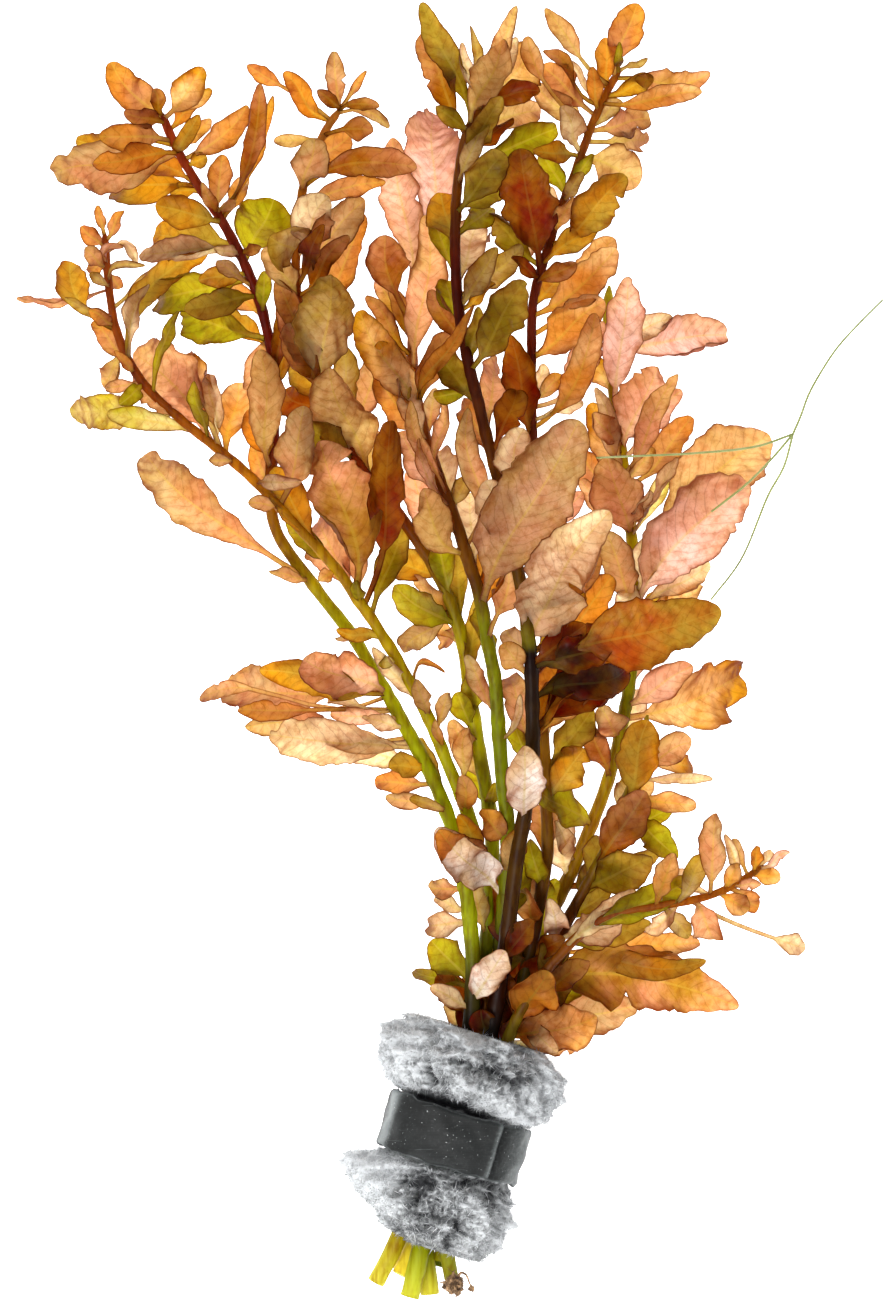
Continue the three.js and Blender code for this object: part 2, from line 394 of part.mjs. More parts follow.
// A leaf's rings run from its base to its tip along an arched midrib. Small leaves have a ring of three
// points, its two edges and its midrib below. Large ones have four, with a flat top to the midrib.
function leafBody(leaf, base, tip, extra) {
  const along = tip.clone().sub(base);
  const length = along.length();
  along.normalize();
  const roll = THREE.MathUtils.degToRad(leaf.roll);
  const across = along.clone().cross(up).normalize().applyAxisAngle(along, roll);
  const above = across.clone().cross(along);
  const flat = along.clone().setZ(0).normalize();
  const aside = new THREE.Vector3(-flat.y, flat.x, 0);
  const start = base.clone().addScaledVector(along, -extra);
  const reach = length + 2 * extra;
  const shares = leaf.own ? bladeRings : smallBladeRings;
  const half = (leaf.own ? stalkWidth : smallStalk) / 2 + extra;
  const ring = (t, halfWidth, thick) => {
    const arch = 4 * t * (1 - t);
    const middle = start.clone().addScaledVector(along, t * reach)
      .addScaledVector(aside, arch * leaf.sweep).addScaledVector(above, arch * leafBow * length);
    const edge = (side) => middle.clone().addScaledVector(across, side * halfWidth)
      .addScaledVector(above, leafFold * halfWidth + (leaf.own ? 0 : thick));
    const under = middle.clone().addScaledVector(above, -thick);
    return leaf.own ? [edge(-1), middle.clone().addScaledVector(above, thick), edge(1), under]
      : [edge(-1), edge(1), under];
  };
  const thick = leafThickness / 2 + extra;
  const rings = [ring(0, half, leaf.own ? thick : half)];
  for (const share of shares.slice(leaf.own ? 0 : 1)) {
    const t = leaf.stalk + (1 - leaf.stalk) * share;
    rings.push(ring(t, Math.max(half, (leaf.width / 2) * bladeShape(share) + extra), thick));
  }
  return loft(rings, start.clone().addScaledVector(along, reach));
}

function boxOf(geometry) {
  geometry.computeBoundingBox();
  return geometry.boundingBox;
}

const taken = []; // what is already in its place: its box, its solid and the stem that it belongs to

function occupy(geometry, owner) {
  taken.push({ box: boxOf(geometry).clone(), solid: solidOf(geometry), owner });
}

function isFree(geometry, mayTouch) {
  const box = boxOf(geometry);
  if (box.min.z < 0 || box.max.z > highest) return false;
  const near = taken.filter((other) => other.box.intersectsBox(box) && !mayTouch(other));
  if (!near.length) return true;
  const solid = solidOf(geometry);
  return near.every((other) => solid.intersect(other.solid).isEmpty());
}

// Finds a leaf's place: its tip keeps its place over the table, and is lifted or lowered, and its base
// slid a little along the stem, until the leaf is clear of all that isn't its own stem's.
function settle(leaf) {
  const mayTouch = (other) => !leaf.own && other.owner === leaf.stem;
  for (const slide of baseSteps) {
    const { point, heading, radius } = stemAt(leaf.stem, leaf.height + slide);
    const flat = new THREE.Vector3(leaf.tip[0] - point.x, leaf.tip[1] - point.y, 0);
    const distance = flat.length();
    flat.normalize();
    for (let i = 0; i <= 2 * depthSteps; i++) {
      const lift = Math.ceil(i / 2) * depthStep * (i % 2 ? 1 : -1);
      const rise = leaf.rise === onTable ? -point.z + Math.abs(lift) * tableShare : leaf.rise + lift;
      if (leaf.rise !== onTable && Math.abs(rise) > steepest * distance) continue;
      const tip = new THREE.Vector3(leaf.tip[0], leaf.tip[1], point.z + rise);
      const out = tip.clone().sub(point);
      const beside = out.clone().addScaledVector(heading, -out.dot(heading)).normalize();
      const base = leaf.own ? point.clone().addScaledVector(beside, radius + leafGap + stalkWidth / 2)
        : point.clone();
      if (isFree(leafBody(leaf, base, tip, skin), mayTouch)) return leafBody(leaf, base, tip, 0);
    }
  }
  return null;
}

// A sine or cosine raised to a power with its sign kept, which squares a circle's corners.
const rounded = (value, power) => Math.sign(value) * Math.abs(value) ** power;

// The wool collar: two lumpy puffs and a waist, lying flat on the table, with the stems' way cut through it.
function woolGeometry() {
  const rings = woolRings.map(([along, halfWidth, halfDepth], i) => {
    const ring = [];
    for (let k = 0; k < woolSides; k++) {
      const angle = (2 * Math.PI * k) / woolSides;
      const uneven = woolLumps[0] * Math.sin(3 * angle + 2 * i) + woolLumps[1] * Math.sin(5 * angle - i);
      const lump = Math.abs(along) > waist ? 1 + uneven : 1;
      ring.push(new THREE.Vector3(
        halfWidth * lump * Math.cos(angle),
        along,
        Math.max(halfDepth * lump * Math.sin(angle), -collar.z),
      ));
    }
    return ring;
  });
  const way = core.map(([along, halfWidth]) => {
    const ring = [];
    for (let k = 0; k < coreSides; k++) {
      const angle = (2 * Math.PI * (k + 0.5)) / coreSides;
      const [x, z] = [Math.cos(angle), Math.sin(angle)]
        .map((value) => halfWidth * rounded(value, coreRounding));
      ring.push(new THREE.Vector3(x, along, z));
    }
    return ring;
  });
  return geometryOf(solidOf(loft(rings)).subtract(solidOf(loft(way))));
}

// The lead strip: one turn and a lap, wound flat round the waist, its free end on top.
function stripGeometry() {
  const rings = [];
  for (let i = 0; i <= strip.steps; i++) {
    const angle = THREE.MathUtils.degToRad(THREE.MathUtils.lerp(strip.from, strip.to, i / strip.steps));
    const lift = (strip.thickness + strip.lapGap) * THREE.MathUtils.smoothstep(i / strip.steps, 0.45, 0.8);
    const place = (out, along) => new THREE.Vector3(
      (strip.halfWidth - strip.thickness / 2 + lift + out) * rounded(Math.cos(angle), stripRounding),
      along,
      (strip.halfDepth - strip.thickness / 2 + lift + out) * rounded(Math.sin(angle), stripRounding),
    );
    const edge = strip.width / 2;
    const { thickness } = strip;
    rings.push([place(0, -edge), place(thickness, -edge), place(thickness, edge), place(0, edge)]);
  }
  return loft(rings);
}

function tuftGeometry() {
  const geometry = new THREE.IcosahedronGeometry(tuft.radius, 1);
  const place = geometry.attributes.position;
  for (let i = 0; i < place.count; i++) {
    const [x, y, z] = [place.getX(i), place.getY(i), place.getZ(i)];
    const lump = 1 + tuft.lump * Math.sin(2.7 * x + 1.3 * y) * Math.cos(2.1 * z);
    place.setXYZ(i, x * lump + tuft.x, y * lump + tuft.y, z * lump + tuft.z);
  }
  geometry.deleteAttribute("normal");
  geometry.deleteAttribute("uv");
  return geometry;
}

function threadGeometry() {
  const branches = thread.map((points) => solidOf(bar(routeOf(points), threadRings, 3, () => threadRadius)));
  return geometryOf(branches.reduce((whole, branch) => whole.add(branch)));
}

// Assembly

const bunch = new THREE.Group();
bunch.position.set(-outlineMiddle[0], -outlineMiddle[1], 0);

function addPiece(parent, name, geometry, color, roughness, metalness = 0) {
  const mesh = new THREE.Mesh(geometry, new THREE.MeshStandardMaterial({ color, roughness, metalness }));
  mesh.name = name;
  parent.add(mesh);
}

const wrap = new THREE.Group();
wrap.position.set(collar.x, collar.y, collar.z);
wrap.rotation.z = collar.lean;
wrap.updateMatrix();
bunch.add(wrap);
for (const [name, geometry, color, roughness, metalness] of [
  ["wool_collar", woolGeometry(), 0xb9bcbe, 0.95, 0],
  ["lead_strip", stripGeometry(), 0x4b5152, 0.5, 0.8],
]) {
  addPiece(wrap, name, geometry, color, roughness, metalness);
  occupy(geometry.clone().applyMatrix4(wrap.matrix), name);
}
addPiece(bunch, "root_tuft", tuftGeometry(), 0x5a3315, 0.9);
const strand = threadGeometry();
addPiece(bunch, "stray_thread", strand, 0x8f9a5a, 0.6);
occupy(strand, "stray_thread");

const leaves = [];
for (const [name, stem] of Object.entries(stems)) {
  stem.curve = routeOf(stem.route);
  stem.body = bar(stem.curve, stemRings, stemSides, (t) => THREE.MathUtils.lerp(stem.cut, stem.tip, t));
  occupy(stem.body, stem);
  stem.fused = solidOf(stem.body);
  stem.leaves.forEach(([height, x, y, rise, width, tint, roll = 0, sweep = 0, stalk = stalkShare]) => {
    const { point } = stemAt(stem, height);
    const length = Math.hypot(x - point.x, y - point.y);
    if (length * width < leastLeafArea) return;
    const own = length * width >= ownLeafArea;
    leaves.push({ name, stem, height, tip: [x, y], rise, width, tint, roll, sweep, stalk, own, length });
  });
}
leaves.sort((a, b) => (a.rise === onTable ? -1 : 0) - (b.rise === onTable ? -1 : 0)
  || b.length * b.width - a.length * a.width);

const counts = {};
for (const leaf of leaves) {
  const body = settle(leaf);
  if (!body) throw new Error(`no room for the leaf of stem ${leaf.name} with its tip at ${leaf.tip}`);
  occupy(body, leaf.own ? leaf : leaf.stem);
  if (leaf.own) {
    counts[leaf.name] = (counts[leaf.name] ?? 0) + 1;
    addPiece(bunch, `leaf_${leaf.name}${counts[leaf.name]}`, body, tints[leaf.tint], 0.6);
  } else {
    leaf.stem.fused = leaf.stem.fused.add(solidOf(body));
  }
}
for (const [name, stem] of Object.entries(stems)) {
  addPiece(bunch, `stem_${name}`, geometryOf(stem.fused), stem.colour, 0.6);
}

const group = new THREE.Group();
group.add(bunch);
export default group;
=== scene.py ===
import bpy
import numpy as np
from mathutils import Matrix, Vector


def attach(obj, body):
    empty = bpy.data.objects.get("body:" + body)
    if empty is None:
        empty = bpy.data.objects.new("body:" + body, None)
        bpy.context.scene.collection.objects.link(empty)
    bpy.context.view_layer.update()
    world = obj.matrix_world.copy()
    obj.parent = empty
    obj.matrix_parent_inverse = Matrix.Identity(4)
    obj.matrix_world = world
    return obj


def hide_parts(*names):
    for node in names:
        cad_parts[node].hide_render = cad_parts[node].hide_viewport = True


# A bunch of ludwigia on a light table, seen from above. Places in the tables are millimetres from a point
# on the table under the lead strip; outlineMiddle is where the frame's origin lies among them.

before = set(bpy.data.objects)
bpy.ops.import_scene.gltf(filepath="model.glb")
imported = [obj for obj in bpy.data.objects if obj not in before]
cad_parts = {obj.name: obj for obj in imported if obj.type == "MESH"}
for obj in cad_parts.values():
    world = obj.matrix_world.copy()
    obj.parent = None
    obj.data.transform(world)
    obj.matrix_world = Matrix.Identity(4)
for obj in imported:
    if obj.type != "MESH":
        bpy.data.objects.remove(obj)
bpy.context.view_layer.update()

outlineMiddle = np.array([-1.4, 97.1, 0.0])
up = np.array([0.0, 0.0, 1.0])
onTable = None  # in place of a rise: the leaf's tip touches the table, and its height is the CAD's


# sRGB hex to the linear colour that a shader socket takes: ((c + 0.055) / 1.055) ^ 2.4, near black c / 12.92.
def linear(hexColour):
    channels = [int(hexColour[i : i + 2], 16) / 255 for i in (0, 2, 4)]
    return [c / 12.92 if c < 0.04 else ((c + 0.055) / 1.055) ** 2.4 for c in channels] + [1.0]


# Surfaces: each is worked out as whole arrays, in millimetres, and given to one mesh.

# A sum of sine waves with random directions and phases; points are (..., n), waves run from coarse to fine.
def ripple(points, size, seed, waves=24):
    points = np.asarray(points, float)
    rng = np.random.default_rng(seed)
    direction = rng.normal(size=(waves, points.shape[-1]))
    direction /= np.linalg.norm(direction, axis=1, keepdims=True)
    finer = np.geomspace(1, 4, waves)
    phase = rng.uniform(0, 2 * np.pi, waves)
    value = np.sin(points @ (direction * (finer * 2 * np.pi / size)[:, None]).T + phase) / finer
    return value.sum(-1) / np.sqrt((0.5 / finer**2).sum())


# A bell: exp(-d^2), where d is the distance from the middle in reaches, over as many axes as are given.
def bell(*axes):
    return np.exp(-sum(((place - middle) / reach) ** 2 for place, middle, reach in axes))


# A smooth curve through the points. Each gets a knot, on from the last by the square root of their distance;
# between two of them, lines through neighbours are mixed by the knots, then those mixes, then those again.
def smoothLine(points, perSpan=24):
    points = np.asarray(points, float)
    ends = np.array([2 * points[0] - points[1], 2 * points[-1] - points[-2]])
    held = np.vstack([ends[:1], points, ends[1:]])
    knots = np.cumsum(np.r_[0, np.sqrt(np.linalg.norm(np.diff(held, axis=0), axis=1))])
    rows = np.arange(len(points) - 1)
    share = np.linspace(0, 1, perSpan, endpoint=False)
    p = [held[rows + i][:, None] for i in range(4)]
    t = [knots[rows + i][:, None, None] for i in range(4)]
    at = t[1] + (t[2] - t[1]) * share[None, :, None]
    mix = lambda a, b, ta, tb: (a * (tb - at) + b * (at - ta)) / (tb - ta)  # a at knot ta, b at knot tb
    first = [mix(p[i], p[i + 1], t[i], t[i + 1]) for i in range(3)]
    second = [mix(first[i], first[i + 1], t[i], t[i + 2]) for i in range(2)]
    line = mix(second[0], second[1], t[1], t[2]).reshape(-1, points.shape[1])
    return np.vstack([line, points[-1:]])


# As many points as asked for, evenly spaced along a line by linear interpolation.
def evenly(line, count):
    lengths = np.r_[0, np.cumsum(np.linalg.norm(np.diff(line, axis=0), axis=1))]
    wanted = np.linspace(0, 1, count) * lengths[-1]
    return np.stack([np.interp(wanted, lengths, line[:, i]) for i in range(line.shape[1])], -1)


# Vectors made one long: v / |v|.
def unit(vectors):
    return vectors / np.maximum(np.linalg.norm(vectors, axis=-1, keepdims=True), 1e-9)


# At each point of a line: its heading, the level direction across it, and the direction square to both.
def lineFrames(line):
    heading = unit(np.gradient(line, axis=0))
    across = unit(np.cross(heading, up))
    return heading, across, np.cross(across, heading)


# Four-cornered faces of a grid of the given rows, each a closed ring: point k of row i is joined to the next
# round and the next along. A looped grid's last row is joined to its first.
def gridFaces(rows, around, looped=False):
    i, k = np.meshgrid(np.arange(rows - (not looped)), np.arange(around), indexing="ij")
    here, onward = i * around, (i + 1) % rows * around
    nextRound = (k + 1) % around
    return np.stack([here + k, here + nextRound, onward + nextRound, onward + k], -1).reshape(-1, 4)


# A tube's faces: its grid, and its first and last rings shut by a face of all their points.
def ringFaces(rows, around):
    caps = np.stack([np.arange(around)[::-1], (rows - 1) * around + np.arange(around)])
    return [gridFaces(rows, around), caps]


# Turns all faces round if the volume that they enclose, the sum of a.(b x c) / 6, comes out negative.
def outward(points, faces):
    centred = points - points.mean(0)
    volume = 0.0
    for group in faces:
        for k in range(1, group.shape[1] - 1):
            a, b, c = centred[group[:, 0]], centred[group[:, k]], centred[group[:, k + 1]]
            volume += (a * np.cross(b, c)).sum()
    return faces if volume > 0 else [group[:, ::-1] for group in faces]


# Several surfaces as one: their points in a row, and each face's numbers moved up by the points before.
def joined(surfaces):
    offsets = np.cumsum([0] + [len(s["points"]) for s in surfaces[:-1]])
    whole = {key: np.concatenate([s[key] for s in surfaces]) for key in surfaces[0] if key != "faces"}
    whole["faces"] = [group + offset for s, offset in zip(surfaces, offsets) for group in s["faces"]]
    return whole


# A shade per point, from 0 to 1, as the colour attribute that carries it.
def shadeColour(shade):
    return np.stack([shade, shade, shade, np.ones_like(shade)], -1)


# A mesh from a surface. Keys other than points and faces are values per point: those with two numbers become
# UV maps, those with four a colour attribute.
def makePiece(name, surface, material, replaced=()):
    mesh = bpy.data.meshes.new(name)
    points = (surface["points"] - outlineMiddle) * 0.001
    groups = [group for group in surface["faces"] if len(group)]
    corners = np.concatenate([group.ravel() for group in groups])
    sizes = np.concatenate([np.full(len(group), group.shape[1]) for group in groups])
    mesh.vertices.add(len(points))
    mesh.vertices.foreach_set("co", points.ravel())
    mesh.loops.add(len(corners))
    mesh.loops.foreach_set("vertex_index", corners)
    mesh.polygons.add(len(sizes))
    mesh.polygons.foreach_set("loop_start", np.r_[0, np.cumsum(sizes)[:-1]])
    mesh.polygons.foreach_set("use_smooth", sizes <= 4)
    for key in [key for key in surface if key not in ("points", "faces")]:
        values = surface[key].astype(np.float32)
        if values.shape[1] == 2:
            mesh.uv_layers.new(name=key).uv.foreach_set("vector", values[corners].ravel())
        else:
            mesh.color_attributes.new(key, "FLOAT_COLOR", "POINT").data.foreach_set("color", values.ravel())
    mesh.update(calc_edges=True)
    mesh.validate()
    piece = bpy.data.objects.new(name, mesh)
    bpy.context.collection.objects.link(piece)
    mesh.materials.append(material)
    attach(piece, "root")
    if replaced:
        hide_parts(*replaced)
    return piece


# A round bar: circles of the given radii, square to the line, one for each of its points.
def roundBar(line, radii, sides):
    _, across, above = lineFrames(line)
    angle = 2 * np.pi * np.arange(sides) / sides
    out = across[:, None] * np.cos(angle)[:, None] + above[:, None] * np.sin(angle)[:, None]
    points = (line[:, None] + out * np.asarray(radii)[:, None, None]).reshape(-1, 3)
    return {"points": points, "faces": outward(points, ringFaces(len(line), sides))}


# Shader nodes

# A material with nothing in it yet, and its node tree.
def newMaterial(name):
    material = bpy.data.materials.new(name)
    material.use_nodes = True
    tree = material.node_tree
    tree.nodes.clear()
    return material, tree


# Adds a node. Inputs given by name or number are either plain values or another node's output.
def node(tree, kind, inputs=(), **settings):
    made = tree.nodes.new("ShaderNode" + kind)
    for key, value in settings.items():
        setattr(made, key, value)
    for key, value in dict(inputs).items():
        if isinstance(value, bpy.types.NodeSocket):
            tree.links.new(value, made.inputs[key])
        else:
            made.inputs[key].default_value = value
    return made


# Sums on values: one operation, a product, and a product plus a third value.
def maths(tree, operation, a, b=0.0, c=0.0):
    return node(tree, "Math", {0: a, 1: b, 2: c}, operation=operation).outputs[0]


def times(tree, a, b):
    return maths(tree, "MULTIPLY", a, b)


def timesPlus(tree, a, b, c):
    return maths(tree, "MULTIPLY_ADD", a, b, c)


# Where a value lies on the way from low to high, from 0 to 1, eased at both ends; high may be the lesser.
def ramped(tree, value, low, high):
    return node(tree, "MapRange", {"Value": value, "From Min": low, "From Max": high},
                interpolation_type="SMOOTHSTEP").outputs[0]


# Colour a mixed with a share of b: a (1 - share) + b share, or as the blend type says.
def blended(tree, share, a, b, how="MIX"):
    return node(tree, "Mix", {0: share, 6: a, 7: b}, data_type="RGBA", blend_type=how).outputs[2]


# A colour times a colour given as hex.
def multiplied(tree, colour, hexColour):
    return blended(tree, 1.0, colour, linear(hexColour), "MULTIPLY")


# Clouds from 0 to 1, so many to the unit of the place given.
def noise(tree, vector, scale, detail=3.0, roughness=0.55):
    return node(tree, "TexNoise", {"Vector": vector, "Scale": scale, "Detail": detail,
                                   "Roughness": roughness}).outputs[0]


# A normal that leans as the height's slope does.
def bumped(tree, height, strength, distance):
    return node(tree, "Bump", {"Height": height, "Strength": strength, "Distance": distance}).outputs[0]


# A place on a piece, as its Object coordinates in metres.
def objectPlace(tree):
    return node(tree, "TexCoord").outputs["Object"]


# What a piece's points carry: output 0 is a colour, and output 2 its mean.
def carried(tree, name, output=2):
    return node(tree, "Attribute", attribute_name=name).outputs[output]


# Ends a material: a Principled shader with the settings given, or a share of translucence mixed into it.
def finishMaterial(tree, settings, share=None):
    surface = node(tree, "BsdfPrincipled", settings).outputs[0]
    if share is not None:
        # the light passes two faces, so each takes about the square root of the colour
        paler = node(tree, "Gamma", {"Color": settings["Base Color"], "Gamma": 0.55})
        through = node(tree, "BsdfTranslucent", {"Color": paler.outputs[0]})
        surface = node(tree, "MixShader", {0: share, 1: surface, 2: through.outputs[0]}).outputs[0]
    node(tree, "OutputMaterial", {"Surface": surface})


# Tints of the leaves as the light comes through them, and the tint that each runs into. The near-black tint
# is painted shade, for leaves where the wool and the crowded bunch keep the table's light off; wine leaves set
# in crowded places are partly painted shade too, for the dark of leaf over leaf.
leafTints = {
    "pink": ("f6c8ac", "salmon"), "salmon": ("ecb086", "peach"), "peach": ("f4cc8e", "gold"),
    "orange": ("e29c40", "peach"), "ember": ("e29628", "orange"), "rust": ("c6885a", "orange"),
    "brown": ("a05a04", "rust"), "wine": ("881a02", "brown"), "gold": ("da9c1c", "olive"),
    "olive": ("b89a38", "gold"), "moss": ("806806", "olive"), "green": ("9c960c", "lime"),
    "lime": ("c2ba20", "green"), "tan": ("dab874", "peach"), "taupe": ("ccb07c", "olive"),
    "mauve": ("d69a6c", "taupe"), "blush": ("ecceaa", "cream"), "cream": ("fff0c2", "blush"),
    "grey": ("f8eee6", "blush"), "straw": ("f0e69c", "lime"), "petal": ("fad2c6", "pink"),
    # the first tint below, near black, is painted shade for leaves that the wool and the crowded bunch keep in
    # the dark
    "soot": ("3c1204", "wine"), "sear": ("b85a14", "olive"), "fawn": ("d2a680", "taupe"),
    "bronze": ("b8882c", "salmon"),
}
tintNames = list(leafTints)

# Each stem: half its thickness at the cut and at its growing tip, the colours of its skin at heights up the
# bunch, and its way. Each leaf: the height on its stem, the x and y of its tip, how far its tip stands above
# where it grows, its width and tint, then, where they differ from the usual, its roll in degrees, its sweep
# to the left, the share of it that is stalk, how torn it is, and its skew.
stems = {}
stems["a"] = {
    "cut": 1.6, "tip": 0.75,
    "colours": [
        # the near-black stop at 21 mm, where the stem comes out of the wool, is painted shade
        (-27, "ecdc40"), (-20, "c4b418"), (0, "96a000"), (21, "0c0802"), (35, "2c2604"), (44, "8c9602"),
        (60, "9ca400"), (97, "a89000"), (115, "b48c06"), (132, "ae6c00"), (150, "8c4000"),
        (180, "a04c12"),
    ],
    "route": [
        [-11.2, -27.3, 15.5], [-7.9, -20, 14.5], [-3.8, 0, 14], [2.7, 21, 14], [5.6, 35, 15.5],
        [6.4, 48, 18], [3.8, 62, 21.5], [-1, 74, 25], [-5.5, 85, 27], [-11, 95, 29], [-16.5, 104, 30],
        [-24, 114.5, 31], [-33, 124.5, 31], [-43, 134.5, 29], [-54, 143.5, 25.5], [-62.5, 151.5, 22.5],
        [-67.5, 161, 20], [-69.3, 171, 18.5], [-70.3, 182, 18],
    ],
    "leaves": [
        [178, -74.8, 182.8, 3, 3.6, "rust"], [179.5, -66.3, 186, 2, 2.6, "rust"],
        [177, -63.6, 175, 4, 2.6, "blush", 40, 3], [176.5, -73.2, 173.6, -3, 3.2, "rust"],
        [181, -71.5, 187, 3, 2.2, "rust"], [162, -77.3, 176, -8, 6.8, "olive", 0, 3, 0.3],
        [170, -88.4, 168.8, onTable, 4, "salmon", 55, 1], [162.5, -78, 168.4, 4, 2.4, "taupe"],
        [163, -73.2, 166, 5, 3.4, "rust"], [171, -73, 173, 6, 2.2, "taupe"],
        [171.5, -62, 174.8, 6, 1.8, "taupe", 30, 2], [166, -58.5, 174.3, -6, 3.4, "taupe", 30],
        [156, -48.5, 178.5, 9, 6, "olive", 15, 5], [158, -70.5, 150.8, -6, 5, "tan"],
        [152.5, -68, 157.8, 4, 2.2, "rust"], [151, -67, 147, 5, 3.6, "lime"],
        [151.5, -70, 150.3, -4, 2.8, "salmon"], [145, -77.5, 145.8, onTable, 7.2, "straw", 0, -0.2, 0.25],
        [139, -64.5, 157.5, -12, 12.5, "salmon", 0, -2], [137.5, -54.5, 157, -16, 9, "peach", 15],
        [136.5, -43.3, 151.5, -9, 8, "orange"], [139.8, -52, 151.5, 6, 3.4, "green", 15],
        [149, -55, 165.5, 8, 3.2, "lime", 0, 1], [135.3, -49, 135.8, 3, 2.6, "mauve"],
        [126.5, -41.2, 127.4, 3, 3.4, "mauve"], [131, -30.5, 131.5, 8, 3.4, "cream"],
        [117.5, -36.5, 134, -5, 7, "gold"], [107.5, -27.5, 123.5, -12, 9.5, "salmon"],
        [106.5, -12.8, 143.5, 10, 9, "wine", 15, -2, 0.3], [109, -27, 139.5, 8, 13.5, "bronze", 0, -2],
        [107.3, -19.6, 111.8, 3, 3, "lime"], [114, -27.2, 111.8, 3, 2.8, "orange"],
        [99.7, -23.6, 102.2, 5, 2.8, "olive"], [96, -15.2, 95, 3, 2.4, "straw"],
        [84.5, -7.8, 92.2, 4, 3.6, "mauve"], [78, -4, 84, 4, 2, "orange"],
        [64.5, 1.2, 73, 5, 4.4, "orange"], [50, -3.2, 62.2, 10, 8, "rust", 0, -1],
        [54.5, 0.6, 65.2, 5, 5.2, "olive"], [126.5, -30, 146.5, 9, 8.4, "mauve", 0, -1],
        [175, -66.3, 178.6, 4, 2.8, "pink", 20, 2], [174, -74, 178.3, 5, 3.4, "mauve"],
        [173.5, -67.2, 170.5, -3, 2.6, "rust"], [155.5, -61, 171, 6, 4, "cream", 20, 1.5],
        [155, -72.6, 163.8, -5, 4, "rust"], [113, -33.6, 124.5, -3, 4.5, "green"],
        [104, -10.5, 122.5, -4, 5.5, "moss"], [108, -19.8, 122.5, -6, 5.5, "salmon"],
        [24, -3.5, 33, 3, 6, "wine"], [40, 3, 54, 4, 5, "taupe"], [19, 2.2, 27, -2, 5, "soot"],
        [141, -69.5, 145.4, -5, 4.6, "straw", 0, -0.4, 0.06], [86, -16.5, 98.5, 3, 3.4, "cream"],
        [70, 2.6, 82.5, -2, 4, "tan"], [90, -2, 93.5, -3, 1.6, "rust", 40, 4, 0.3],
        [81, -1.2, 89.5, -1, 3.2, "mauve"], [138.5, -48.5, 153, -6, 4, "cream"],
    ],
}
